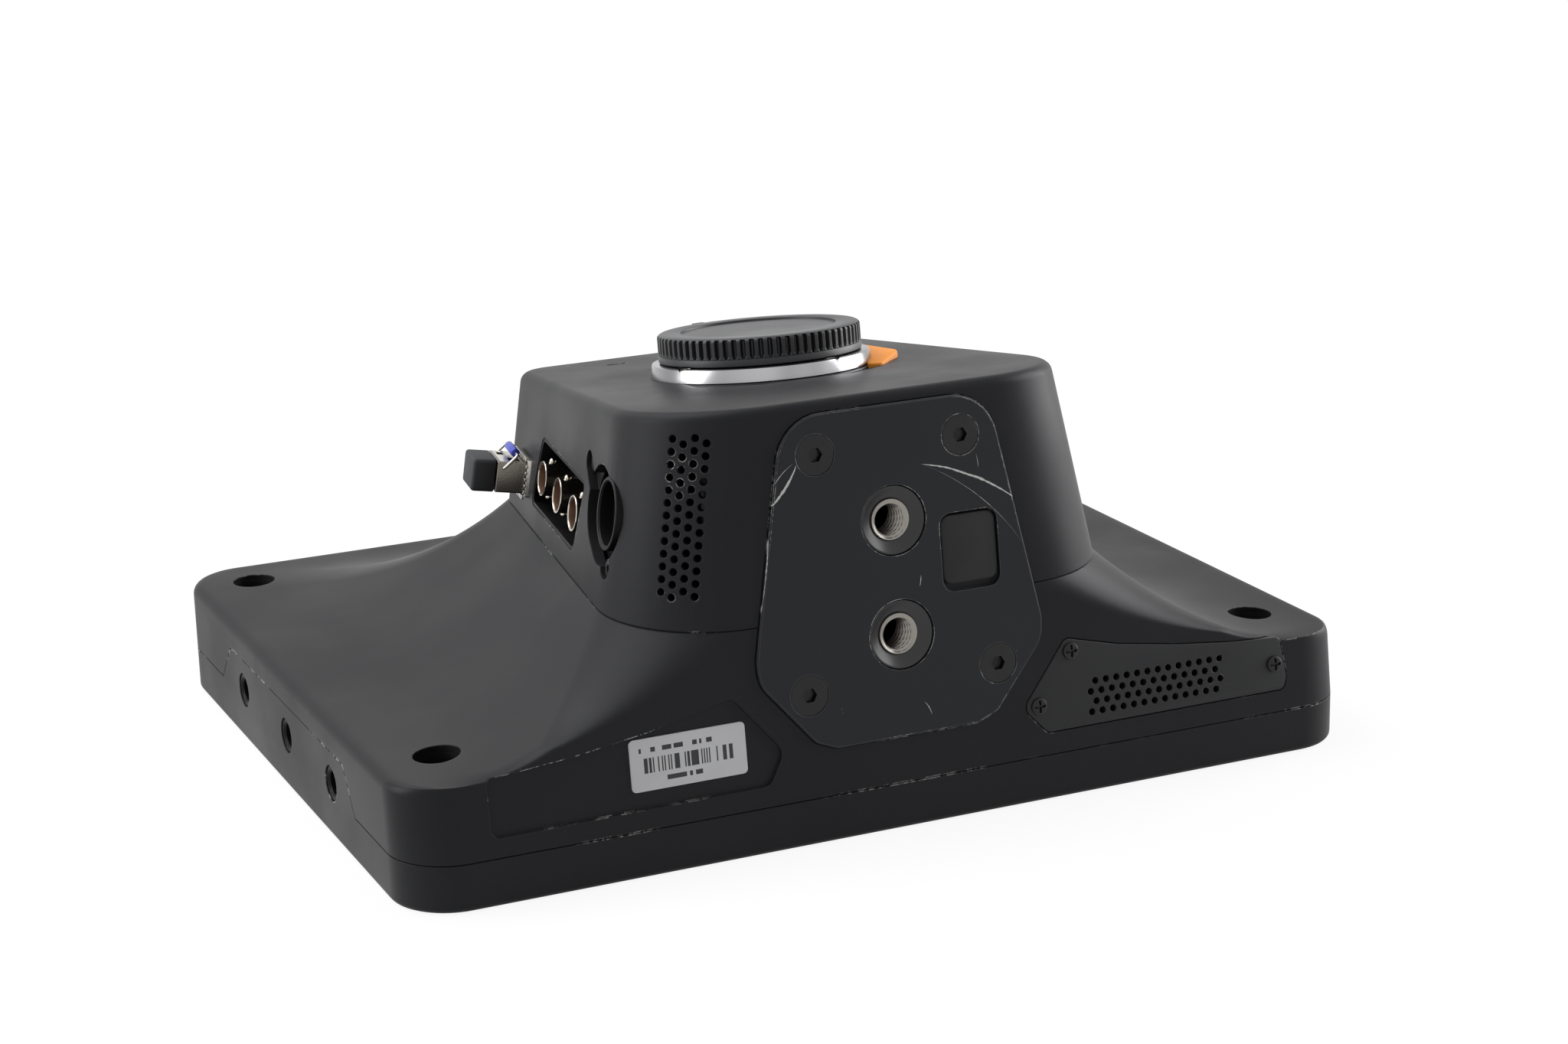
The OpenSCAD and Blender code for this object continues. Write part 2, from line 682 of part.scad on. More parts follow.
module screw(head_r, head_h, shank_r, length, socket_r, flat) {
    difference() {
        union() {
            if (flat) translate([0, 0, -head_h]) cylinder(r1 = shank_r, r2 = head_r, h = head_h);
            else cylinder(r = head_r, h = head_h);
            translate([0, 0, -length]) cylinder(r = shank_r,
                h = length - (flat ? head_h / 2 : -over / 2));
        }
        translate([0, 0, (flat ? 0 : head_h) - head_h * screw_socket_share])
            cylinder(r = socket_r, h = head_h, $fn = 6);
    }
}

plate_head_h = 2.6;
plate_screw_len = 11;
plate_socket_r = 2.2;

module mounting_plate() {
    color([0.2, 0.2, 0.21]) difference() {
        on_near(0, 0) translate([0, 0, -plate_in]) linear_extrude(plate_t) plate_outline(0);
        for (p = plate_screw_places) on_near(p[0], p[1]) {
            translate([0, 0, plate_proud - plate_head_h])
                cylinder(r1 = plate_shank_r + screw_fit, r2 = plate_head_r + screw_fit, h = plate_head_h);
            translate([0, 0, plate_proud]) cylinder(r = plate_head_r + screw_fit, h = over);
            translate([0, 0, -plate_in - over])
                cylinder(r = plate_shank_r + screw_fit, h = plate_t + 2 * over);
        }
        for (p = [thread_low, thread_high]) on_near(0, p) translate([0, 0, -plate_in - over])
            cylinder(r = bush_r + fit, h = plate_t + 2 * over);
        on_near(usb_at[0], usb_at[1]) translate([0, 0, -plate_in - over])
            linear_extrude(plate_t + 2 * over) {
            rounded_plate(usb_size + [2 * gap, 2 * gap], usb_r);
            translate([-usb_size[0] * notch_share, -usb_size[1] / 2]) circle(notch_r);
        }
    }
}

module plate_screws() {
    color([0.12, 0.12, 0.13]) for (p = plate_screw_places) on_near(p[0], p[1])
        translate([0, 0, plate_proud]) screw(plate_head_r, plate_head_h, plate_shank_r, plate_screw_len,
            plate_socket_r, true);
}

bush_flange = plate_t - gap;
thread_lead = 0.7;

module thread_insert(w) {
    color([0.62, 0.63, 0.65]) on_near(0, w) difference() {
        union() {
            translate([0, 0, -plate_in]) cylinder(r = bush_r, h = bush_flange);
            translate([0, 0, -near_block[1] - core_wall + over])
                cylinder(r = bush_body_r, h = near_block[1] + core_wall - plate_in);
        }
        translate([0, 0, -near_block[1] - core_wall])
            cylinder(r = thread_r, h = near_block[1] + 2 * core_wall);
        translate([0, 0, plate_proud - gap - thread_lead])
            cylinder(r1 = thread_r, r2 = thread_r + thread_lead, h = thread_lead + thin);
    }
}

module thread_insert_upper() {
    thread_insert(thread_high);
}

module thread_insert_lower() {
    thread_insert(thread_low);
}

usb_top = plate_proud - usb_sunk;

module usb_cover() {
    color([0.09, 0.09, 0.09]) on_near(usb_at[0], usb_at[1]) translate([0, 0, usb_top - usb_t])
        linear_extrude(usb_t) rounded_plate(usb_size, usb_r - gap);
}

usb_socket_size = [9.4, 3.6];
usb_depth = 6;
usb_skin = 0.8;

module usb_socket() {
    color([0.7, 0.7, 0.72]) on_near(usb_at[0], usb_at[1]) translate([0, 0, -core_wall - usb_depth])
        difference() {
            linear_extrude(usb_depth + over)
                rounded_plate(usb_socket_size, usb_socket_size[1] / 2 - over / 2);
            translate([0, 0, over]) linear_extrude(usb_depth + over)
                rounded_plate(usb_socket_size - [usb_skin, usb_skin], over);
        }
}

module speaker_cover() {
    color([0.19, 0.19, 0.2]) on_near(0, 0) difference() {
        translate([0, 0, -cover_depth]) linear_extrude(cover_t) offset(delta = -fit)
            polygon(cover_points);
        for (r = [0 : cover_rows - 1], c = [0 : cover_columns - 1])
            translate([cover_first[0] - cover_stagger * (r % 2) + cover_pitch * c,
                cover_first[1] - cover_row_pitch * r, -cover_depth - over])
                    cylinder(r = vent_r, h = cover_t + 2 * over);
        for (p = cover_screw_points) translate([p[0], p[1], -cover_depth - over])
            cylinder(r = cover_screw_r + screw_fit, h = cover_t + 2 * over);
    }
}

cover_head_h = 1;
cover_screw_len = 6;

module cover_screws() {
    color([0.14, 0.14, 0.15]) for (p = cover_screw_points) on_near(p[0], p[1])
        translate([0, 0, cover_t - cover_depth])
            screw(cover_head_r, cover_head_h, cover_screw_r, cover_screw_len, over, false);
}

module speaker() {
    color([0.15, 0.15, 0.15]) on_near(speaker_at[0], speaker_at[1])
        translate([0, 0, -shell_wall - fit - speaker_size[2]]) linear_extrude(speaker_size[2])
            square([speaker_size[0], speaker_size[1]], center = true);
}

sticker = [31, 13.2, 0.4];
sticker_at = [-59.8, 15.2];

module label_plate() {
    color([0.8, 0.8, 0.81]) on_near(sticker_at[0], sticker_at[1]) translate([0, 0, -label_depth])
        linear_extrude(sticker[2]) rounded_plate([sticker[0], sticker[1]], over);
}

module corner_screws() {
    color([0.14, 0.14, 0.15]) for (p = well_places) translate([p[0], p[1], slab_h - well_depth])
        screw(well_head_r, well_head_h, well_screw_r, slab_h - well_depth - bezel_plate - over,
            well_socket_r, false);
}

mount_sleeve_r = 25.4;
sleeve_rise = 0.4;
mount_sleeve_low = face_w - face_t + sleeve_rise;
groove_depth = 2.2;
groove_r = throat_r + groove_depth;
lug_angle = 38;
lug_clear = 3;
lug_turn = 40;
mount_screw_angles = [20, 110, 200, 290];
mount_screw_at = 27.7;
mount_screw_r = 0.9;
mount_head_r = 1.7;
mount_socket_r = 0.7;
collar_depth = 4.6;
collar_low = flange_w - collar_depth;
lug_t = 1.6;
lip_rise = 0.2;
lip_low = ring_w + lip_rise;

module mount_ring() {
    color([0.78, 0.78, 0.8]) difference() {
        union() {
            at_lens(ring_w) cylinder(r = mount_r, h = mount_h, $fn = fine);
            at_lens(mount_sleeve_low) cylinder(r = mount_sleeve_r,
                h = ring_w - mount_sleeve_low + over / 2);
        }
        at_lens(mount_sleeve_low - over) cylinder(r = throat_r, h = ring_w, $fn = fine);
        at_lens(mount_sleeve_low - over)
            cylinder(r = groove_r, h = lip_low - mount_sleeve_low + over, $fn = fine);
        at_lens(lip_low - over) for (a = [0, 120, 240])
            arc_piece(throat_r - over, groove_r, a + lug_turn - lug_clear,
                a + lug_turn + lug_angle + lug_clear,
                mount_h + 2 * over);
        at_lens(0) {
            at_angle(pin_at) {
                translate([0, 0, ring_w - over]) cylinder(r = pin_r + gap, h = mount_h + 2 * over);
                translate([groove_r - over - pin_at[0], -pin_r - gap, mount_sleeve_low - over])
                    cube([mount_sleeve_r - groove_r + 2 * over, 2 * (pin_r + gap),
                        ring_w - mount_sleeve_low + over]);
            }
            for (a = mount_screw_angles) at_angle([mount_screw_at, a]) {
                translate([0, 0, ring_w - over])
                    cylinder(r = mount_screw_r + screw_fit, h = mount_h + 2 * over);
                translate([0, 0, flange_w - over]) cylinder(r = mount_head_r + screw_fit, h = 2 * over);
            }
        }
    }
}

module mount_spacer() {
    color([0.08, 0.08, 0.09]) at_lens(spacer_w) difference() {
        cylinder(r = spacer_r, h = spacer_h, $fn = fine);
        translate([0, 0, -over]) cylinder(r = mount_sleeve_r + fit, h = spacer_h + 2 * over, $fn = fine);
        for (a = mount_screw_angles) at_angle([mount_screw_at, a]) translate([0, 0, -over])
            cylinder(r = mount_screw_r + screw_fit, h = spacer_h + 2 * over);
    }
}

module mount_screws() {
    color([0.75, 0.75, 0.77]) for (a = mount_screw_angles) at_lens(flange_w - over)
        at_angle([mount_screw_at, a])
        screw(mount_head_r, over - fit, mount_screw_r, flange_w - face_w + face_t / 2, mount_socket_r,
            false);
}

contact_angle = 44;
contact_reach = 1.5;
contact_t = 1.8;

module contact_block() {
    color([0.1, 0.1, 0.1]) at_lens(mount_sleeve_low) rotate([0, 0, 90 - contact_angle / 2])
        arc_piece(throat_r - contact_reach, groove_r - fit / 2, 0, contact_angle, contact_t);
}

package = [28, 24, 4.4];
active = [17.3, 13, 1.2];
board_low_w = sensor_w - package[2] + active[2] - board_t;
sensor_board_size = [66, 52];

module image_sensor() {
    color([0.2, 0.16, 0.22]) at_lens(board_low_w + board_t) difference() {
        slab_box(package, over);
        translate([0, 0, package[2] - active[2]])
            slab_box([active[0] + 2 * over, active[1] + 2 * over, package[2]], over);
    }
}

filter_t = 1.2;

module filter_glass() {
    color([0.4, 0.6, 0.6]) at_lens(board_low_w + board_t + package[2])
        slab_box([package[0] - 4 * over, package[1] - 4 * over, filter_t], over);
}

module sensor_board() {
    color([0.1, 0.35, 0.2]) at_lens(board_low_w)
        slab_box([sensor_board_size[0], sensor_board_size[1], board_t], over);
}

release_proud = 1.2;
release_top = spacer_w + spacer_h + release_proud;
release_low = face_w + dish_h - release_depth + release_travel + gap;

module lens_release() {
    color([0.94, 0.5, 0.12]) at_lens(release_low)
        arc_piece(release_in_r, release_out_r, release_arc[0], release_arc[1], release_top - release_low);
}

arm_drop = 2.4;
arm_low = face_w - face_t - release_travel - arm_drop;
arm_t = 1.8;
arm_w = 3.6;

module lock_pin() {
    color([0.7, 0.7, 0.72]) at_lens(0) {
        at_angle(pin_at) translate([0, 0, arm_low])
            cylinder(r = pin_r, h = flange_w - gap - arm_low);
        at_angle(release_post_at) translate([0, 0, arm_low])
            cylinder(r = release_post_r, h = release_low - arm_low);
        rotate([0, 0, pin_at[1]]) translate([pin_at[0] - arm_w / 2, -arm_w / 2, arm_low])
            cube([release_post_at[0] - pin_at[0] + arm_w, arm_w, arm_t]);
    }
}

cap_band = 2.4;
cap_skin = 2;
cap_low = flange_w + gap;
collar_r = throat_r - gap;
rib_h = 0.35;
index_w = 2.4;
cap_groove_r = 21.3;

module body_cap() {
    color([0.07, 0.07, 0.07]) at_lens(cap_low) difference() {
        union() {
            difference() {
                union() {
                    cylinder(r = cap_r - rib_h, h = cap_h, $fn = fine);
                    cylinder(r = cap_r, h = cap_band, $fn = fine);
                    for (i = [0 : cap_ribs - 1]) rotate([0, 0, 360 * i / cap_ribs])
                        translate([cap_r - rib_h - over, -rib_h, 0])
                            cube([over + rib_h, 2 * rib_h, cap_h - rib_h]);
                }
                translate([0, 0, -over]) cylinder(r = mount_r - 2 * cap_skin,
                    h = cap_h - cap_skin + over, $fn = fine);
            }
            translate([0, 0, collar_low - cap_low])
                cylinder(r = collar_r, h = cap_low - collar_low + cap_h - cap_skin / 2);
            translate([0, 0, collar_low - cap_low]) for (a = [0, 120, 240])
                arc_piece(collar_r - over, groove_r - gap, a, a + lug_angle, lug_t);
        }
        translate([0, 0, collar_low - cap_low - over])
            cylinder(r = collar_r - cap_skin, h = cap_low - collar_low + cap_h - cap_skin + over);
        translate([0, 0, cap_h - rib_h]) difference() {
            cylinder(r = cap_groove_r + rib_h, h = over);
            cylinder(r = cap_groove_r - rib_h, h = over);
        }
    }
}

module sfp_cage() {
    color([0.7, 0.7, 0.7]) on_left(sfp_y, sfp_z) translate([-cage_len, 0, 0]) rotate([90, 0, 90])
        difference() {
        linear_extrude(cage_len + over) square(sfp_hole, center = true);
        translate([0, 0, over]) linear_extrude(cage_len + over)
            square([sfp_w + 2 * cage_gap, sfp_h + 2 * cage_gap], center = true);
    }
}

plug_stub = [9, 4.4, 5.4];
plug_size = [12.6, 9.2, 6.4];
plug_gap = 0.25;

module sfp_module() {
    color([0.55, 0.54, 0.5]) on_left(sfp_y, sfp_z) difference() {
        translate([-cage_len + 3 * over, -sfp_w / 2, -sfp_h / 2])
            cube([cage_len - 3 * over + sfp_out, sfp_w, sfp_h]);
        translate([sfp_out - plug_stub[2] - 2 * plug_gap, -plug_stub[0] / 2 - plug_gap,
            -plug_stub[1] / 2 - plug_gap])
            cube([plug_stub[2] + over, plug_stub[0] + 2 * plug_gap, plug_stub[1] + 2 * plug_gap]);
        for (s = [-1, 1]) translate([bail_at[0], s * (bail_side - bail_wire_r / 2), bail_at[1]])
            rotate([s * 90, 0, 0]) cylinder(r = bail_wire_r + hook_fit, h = hook_len);
    }
}

module sfp_plug() {
    color([0.1, 0.1, 0.11]) on_left(sfp_y, sfp_z) {
        translate([sfp_out + plug_gap, -plug_size[0] / 2, -plug_size[1] / 2])
            cube([plug_size[2], plug_size[0], plug_size[1]]);
        translate([sfp_out - plug_stub[2], -plug_stub[0] / 2, -plug_stub[1] / 2])
            cube([plug_stub[2] + over, plug_stub[0], plug_stub[1]]);
    }
}

bail_wire_r = 0.45;
bail_arm = 5.4;
bail_angle = 132;
bail_at = [sfp_out - 1.6, 2.6];
bail_side = sfp_w / 2 + gap + bail_wire_r;
sleeve_r = 1.25;
hook_len = 2;
hook_fit = 0.05;

module sfp_bail() {
    color([0.2, 0.28, 0.75]) on_left(sfp_y, sfp_z) translate([bail_at[0], 0, bail_at[1]])
        rotate([0, -bail_angle, 0]) {
            for (s = [-1, 1]) translate([0, s * bail_side, 0]) {
                rotate([0, 90, 0]) cylinder(r = bail_wire_r, h = bail_arm);
                translate([0, s * bail_wire_r, 0]) rotate([s * 90, 0, 0])
                    cylinder(r = bail_wire_r, h = hook_len);
            }
            translate([bail_arm, -bail_side, 0]) rotate([-90, 0, 0])
                cylinder(r = bail_wire_r, h = 2 * bail_side);
            translate([bail_arm, -bail_side + 2 * over, 0]) rotate([-90, 0, 0])
                cylinder(r = sleeve_r, h = 2 * bail_side - 4 * over);
        }
}

module bnc_panel() {
    color([0.05, 0.05, 0.05]) on_left(bnc_box_at[0], bnc_box_at[1]) difference() {
        translate([-bnc_box[2], 0, 0]) rotate([90, 0, 90]) linear_extrude(bnc_box[2]) bnc_outline(0);
        translate([bnc_wall - bnc_box[2], 0, 0]) rotate([90, 0, 90]) linear_extrude(bnc_box[2])
            bnc_outline(-bnc_wall);
        for (i = [-1, 0, 1]) translate([-bnc_box[2] - over, (bnc_box_at[0] - bnc_y) - i * bnc_pitch,
            bnc_z - bnc_box_at[1]])
            rotate([0, 90, 0]) cylinder(r = bnc_r + fit, h = bnc_box[2]);
    }
}

bnc_bore_r = 3.6;
bnc_bore_depth = 6.4;
bnc_back = 6;
lug_r = 0.9;
lug_at = 2.6;
bnc_flange_r = 7;

module bnc_jack(i) {
    color([0.72, 0.7, 0.66]) on_left(bnc_box_at[0], bnc_box_at[1])
        translate([0, (bnc_box_at[0] - bnc_y) - i * bnc_pitch, bnc_z - bnc_box_at[1]]) {
            difference() {
                union() {
                    rotate([0, -90, 0]) cylinder(r = bnc_r, h = bnc_box[2] + bnc_back);
                    translate([-bnc_box[2] - bnc_back, 0, 0]) rotate([0, 90, 0])
                        cylinder(r = bnc_flange_r, h = bnc_back);
                    translate([-lug_at, 0, -bnc_r - lug_r]) cylinder(r = lug_r, h = 2 * (bnc_r + lug_r));
                }
                rotate([0, -90, 0]) translate([0, 0, -over])
                    cylinder(r = bnc_bore_r, h = bnc_bore_depth + over);
            }
            translate([-bnc_bore_depth - over, 0, 0]) rotate([0, 90, 0])
                cylinder(r = lug_r, h = bnc_bore_depth - over);
        }
}

module bnc_jack_1() {
    bnc_jack(1);
}

module bnc_jack_2() {
    bnc_jack(0);
}

module bnc_jack_3() {
    bnc_jack(-1);
}

xlr_wall = 1.3;
xlr_depth = 16;
xlr_front = 1.4;
xlr_floor = 3;
pin_length = 8;
xlr_pin_r = 1.15;
xlr_pin_ring = 4.2;
flange_t = 2;
flange_drop = 2;

module at_xlr() {
    on_left(xlr_y, xlr_z) rotate([90, 0, 90]) children();
}

module xlr_shell() {
    color([0.09, 0.09, 0.1]) at_xlr() difference() {
        union() {
            translate([0, 0, -core_wall - flange_drop - flange_t]) linear_extrude(flange_t) {
                circle(xlr_r + xlr_wall + over);
                for (p = ear_places) translate(p) circle(ear_r);
                for (p = ear_places) rotate([0, 0, atan2(p[1], p[0])]) translate([0, -ear_arm / 2])
                    square([norm(p), ear_arm]);
            }
            translate([0, 0, -xlr_depth - xlr_front]) cylinder(r = xlr_r + xlr_wall, h = xlr_depth);
        }
        translate([0, 0, -xlr_depth - xlr_front - over]) cylinder(r = xlr_r, h = xlr_depth + 2 * over);
        for (p = ear_places) translate([p[0], p[1], -core_wall - flange_drop - flange_t - over])
            cylinder(r = xlr_screw_r + screw_fit, h = flange_t + 2 * over);
    }
}

module xlr_insert() {
    color([0.15, 0.15, 0.15]) at_xlr() translate([0, 0, -xlr_depth - xlr_front]) {
        cylinder(r = xlr_r - fit, h = xlr_floor);
        for (a = [45 : 90 : 315]) rotate([0, 0, a]) translate([xlr_pin_ring, 0, over])
            cylinder(r = xlr_pin_r, h = pin_length);
    }
}

xlr_head_h = 1;
xlr_socket_r = 0.8;

module xlr_screws() {
    color([0.14, 0.14, 0.15]) at_xlr() for (p = ear_places) translate([p[0], p[1], -over])
        screw(xlr_head_r, xlr_head_h, xlr_screw_r, core_wall + flange_drop + flange_t - over,
            xlr_socket_r, false);
}

module audio_jack(i) {
    color([0.1, 0.1, 0.1]) translate([-body_w / 2 + gap, jack_places[i], jack_z]) difference() {
        union() {
            rotate([0, 90, 0]) cylinder(r = jack_rim_r, h = tab_depth);
            translate([tab_depth - gap, -jack_body[1] / 2, -jack_body[2] / 2 + over])
                cube([jack_body[0], jack_body[1], jack_body[2] - over]);
        }
        translate([-over, 0, 0]) rotate([0, 90, 0]) cylinder(r = jack_r, h = jack_body[0]);
    }
}

module audio_jack_1() {
    audio_jack(0);
}

module audio_jack_2() {
    audio_jack(1);
}

module audio_jack_3() {
    audio_jack(2);
}

fan_low_w = deck_w + deck_t;
fan_rim = 1.6;
fan_bore_r = fan_side / 2 - fan_rim;
blade_r = fan_bore_r - over;
blade_pitch = 35;
hub_r = 9;
spindle_r = 1.5;
spindle_fit = 0.05;
spoke_t = 1.6;

module fan_frame() {
    color([0.1, 0.1, 0.1]) at_lens(fan_low_w) {
        difference() {
            slab_box([fan_side, fan_side, fan_h], 2 * over);
            translate([0, 0, -over]) cylinder(r = fan_bore_r, h = fan_h + 2 * over);
        }
        for (a = [0 : 60 : 120]) rotate([0, 0, a]) translate([-fan_bore_r - over / 2, -spoke_t, 0])
            cube([2 * fan_bore_r + over, 2 * spoke_t, spoke_t]);
        cylinder(r = spindle_r, h = fan_h - 2 * over);
    }
}

module fan_rotor() {
    color([0.16, 0.16, 0.17]) at_lens(fan_low_w + spoke_t + gap) difference() {
        union() {
            cylinder(r = hub_r, h = fan_h - spoke_t - over);
            for (i = [0 : fan_blades - 1]) rotate([0, 0, 360 * i / fan_blades])
                translate([hub_r - over, 0, over])
                rotate([blade_pitch, 0, 0]) translate([0, -over / 2, 0])
                    cube([blade_r - hub_r, over, fan_h - spoke_t - 5 * over]);
        }
        translate([0, 0, -over]) cylinder(r = spindle_r + spindle_fit, h = fan_h);
    }
}

sink_base = 2;
sink_size = [50, 46];
sink_fins = 11;
fin_t = 1.4;

module heat_sink() {
    color([0.5, 0.5, 0.52]) at_lens(0) {
        translate([0, 0, board_low_w - sink_base])
            slab_box([sink_size[0], sink_size[1], sink_base], over);
        for (i = [0 : sink_fins - 1])
            translate([(i / (sink_fins - 1) - 1 / 2) * (sink_size[0] - fin_t) - fin_t / 2,
                -sink_size[1] / 2, fan_low_w + fan_h + gap])
            cube([fin_t, sink_size[1], board_low_w - sink_base / 2 - fan_low_w - fan_h - gap]);
    }
}

module main_board() {
    color([0.1, 0.35, 0.2]) translate([main_board_at[0], main_board_at[1], seam_z + frame_t + main_leg_h])
        slab_box([main_board_size[0], main_board_size[1], board_t], over);
}

battery_margin = 78;
battery_size = [body_w / 2 - battery_margin, 92, 11.5];
battery_at = [body_w / 2 - board_edge, 14];

module battery_pack() {
    color([0.25, 0.25, 0.3]) translate([battery_at[0], battery_at[1], seam_z + frame_t])
        slab_box(battery_size, 2 * over);
}

module microphones() {
    color([0.6, 0.6, 0.6]) for (p = mic_places) in_block()
        translate([p[0], p[1], face_w - face_t - mic_h])
        cylinder(r = mic_r, h = mic_h);
}

sdi_board_size = [56, 22];

module sdi_board() {
    color([0.1, 0.35, 0.2]) on_left(bnc_box_at[0], bnc_box_at[1])
        translate([-bnc_box[2] - bnc_back - board_t, 0, bnc_z - bnc_box_at[1]]) rotate([90, 0, 90])
            slab_box([sdi_board_size[0], sdi_board_size[1], board_t], over);
}

button_sunk = 0.6;
button_flange_r = 5.1;
button_flange_t = 1;

module menu_button(i) {
    color([0.3, 0.3, 0.31]) translate([button_places[i][0], button_places[i][1], button_sunk]) {
        cylinder(r = button_r, h = bezel_plate + gap + button_flange_t - button_sunk);
        translate([0, 0, bezel_plate + gap - button_sunk])
            cylinder(r = button_flange_r, h = button_flange_t);
    }
}

module button_1() {
    menu_button(0);
}

module button_2() {
    menu_button(1);
}

module button_3() {
    menu_button(2);
}

module button_4() {
    menu_button(3);
}

module button_5() {
    menu_button(4);
}

module button_6() {
    menu_button(5);
}

module button_boards() {
    color([0.1, 0.35, 0.2]) for (sx = [-1, 1])
        translate([sx * button_x, button_ys[1], button_board_z])
            slab_box(button_board, over);
}

rear_shell();
core_housing();
screen_bezel();
lcd_glass();
lcd_panel();
backlight();
display_board();
internal_frame();
mounting_plate();
plate_screws();
thread_insert_upper();
thread_insert_lower();
usb_cover();
usb_socket();
speaker_cover();
cover_screws();
speaker();
label_plate();
corner_screws();
mount_ring();
mount_spacer();
mount_screws();
contact_block();
image_sensor();
filter_glass();
sensor_board();
lens_release();
lock_pin();
body_cap();
sfp_cage();
sfp_module();
sfp_bail();
sfp_plug();
bnc_panel();
bnc_jack_1();
bnc_jack_2();
bnc_jack_3();
xlr_shell();
xlr_insert();
xlr_screws();
audio_jack_1();
audio_jack_2();
audio_jack_3();
fan_frame();
fan_rotor();
heat_sink();
main_board();
battery_pack();
microphones();
sdi_board();
button_1();
button_2();
button_3();
button_4();
button_5();
button_6();
button_boards();
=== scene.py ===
"""Visible pieces and finishes of a studio camera that lies on its screen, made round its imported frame.

Lengths in the shape functions are millimetres. The table frame is x along the screen, y to the far side and
z up. The lens block's own frame is x, v (away) and w (along the lens), leaning back from the table frame."""

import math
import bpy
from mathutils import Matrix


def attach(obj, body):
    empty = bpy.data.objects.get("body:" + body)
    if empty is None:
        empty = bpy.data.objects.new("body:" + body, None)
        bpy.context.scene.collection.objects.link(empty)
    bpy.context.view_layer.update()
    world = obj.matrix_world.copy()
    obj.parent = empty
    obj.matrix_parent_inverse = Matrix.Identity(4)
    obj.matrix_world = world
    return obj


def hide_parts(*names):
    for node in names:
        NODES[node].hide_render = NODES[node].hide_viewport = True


bl_info = {
    "name": "Studio camera looks",
    "version": (1, 0, 0),
    "blender": (4, 5, 0),
    "location": "View3D > Sidebar > Studio camera",
    "description": "Builds the visible pieces and finishes of a studio camera round its packed frame",
    "category": "Object",
}

import bmesh
import bpy
import numpy as np
from bpy.props import FloatProperty, FloatVectorProperty, IntProperty, PointerProperty

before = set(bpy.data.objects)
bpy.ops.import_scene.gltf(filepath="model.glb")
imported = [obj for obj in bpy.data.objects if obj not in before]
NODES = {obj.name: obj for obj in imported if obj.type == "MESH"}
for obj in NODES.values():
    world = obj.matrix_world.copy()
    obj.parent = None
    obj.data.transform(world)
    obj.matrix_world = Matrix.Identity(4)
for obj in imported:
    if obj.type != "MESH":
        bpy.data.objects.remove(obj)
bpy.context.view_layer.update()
MM = 0.001
SHARP = math.radians(32)

# Main sizes of the frame, in millimetres
BODY_W, BODY_D = 268.0, 208.0
CORNER_R = 16.0
SEAM_Z, SLAB_H, EDGE_R, SHELL_WALL = 12.4, 31.5, 3.0, 3.0
TILT = math.radians(7.5)
COS, SIN = math.cos(TILT), math.sin(TILT)
CORE_SEAM_Z, CORE_NEAR_HALF = 57.8, 73.2
YAW, DRAFT = math.radians(8.0), math.radians(8.9)
FACE_W, FACE_FAR_V, FAR_SLOPE = 99.1, 38.0, 0.1
NEAR_R, FAR_R = 30.0, 11.0
CORE_WALL, FACE_T, FACE_BEVEL = 3.2, 4.0, 2.6
LENS_V, MOAT = -29.8, 0.8
SEAT_W, RING_TOP = FACE_W - MOAT, FACE_W + 3.6
WALL_V = -BODY_D / 2 * COS - SEAM_Z * SIN
SEAM_W = (CORE_SEAM_Z + WALL_V * SIN) / COS
NEAR_Y = WALL_V * COS + SEAM_W * SIN
FACE_N = np.array([-math.cos(DRAFT) * math.cos(YAW), math.cos(DRAFT) * math.sin(YAW), math.sin(DRAFT)])
SIDE_KV = (FACE_N[1] * COS - FACE_N[2] * SIN) / -FACE_N[0]
SIDE_KW = (FACE_N[1] * SIN + FACE_N[2] * COS) / -FACE_N[0]
FAR_SEAM_V = (FACE_FAR_V + FAR_SLOPE * (FACE_W - CORE_SEAM_Z / COS)) / (1 + FAR_SLOPE * math.tan(TILT))
FAR_SEAM_Y = FAR_SEAM_V / COS + CORE_SEAM_Z * math.tan(TILT)

# The plate's edges, and the depths and gaps of beds, seams and openings
PLATE_LOW, PLATE_HIGH, PLATE_HALF, PLATE_PROUD = 10.9, 95.9, 40.2, 1.0
PLATE_BED, PLATE_GAP, COVER_BED, COVER_GAP, LABEL_BED, SEAM_CUT = 2.2, 0.12, 1.6, 0.22, 0.9, 0.35
SOCKET_DEEP, CAP_GAP, WELL_DEEP, WINDOW_DEEP = CORE_WALL + 1.5, 0.4, 7.2, 6.0

# Vent holes by angle in degrees and height, and the speaker's holes by place
VENT_COLUMNS, VENT_ROWS, VENT_R, VENT_TURN, VENT_START, VENT_STEP, VENT_PITCH, VENT_SHIFT = (
    4, 13, 1.02, -121, 54, 5.7, 3.12, 1.4)
HOLE_COLUMNS, HOLE_ROWS, HOLE_R, HOLE_PITCH, HOLE_DROP, HOLE_SHIFT, HOLE_AT = 13, 4, 0.95, 3.14, 2.7, 1.5, (54.9, 16.3)

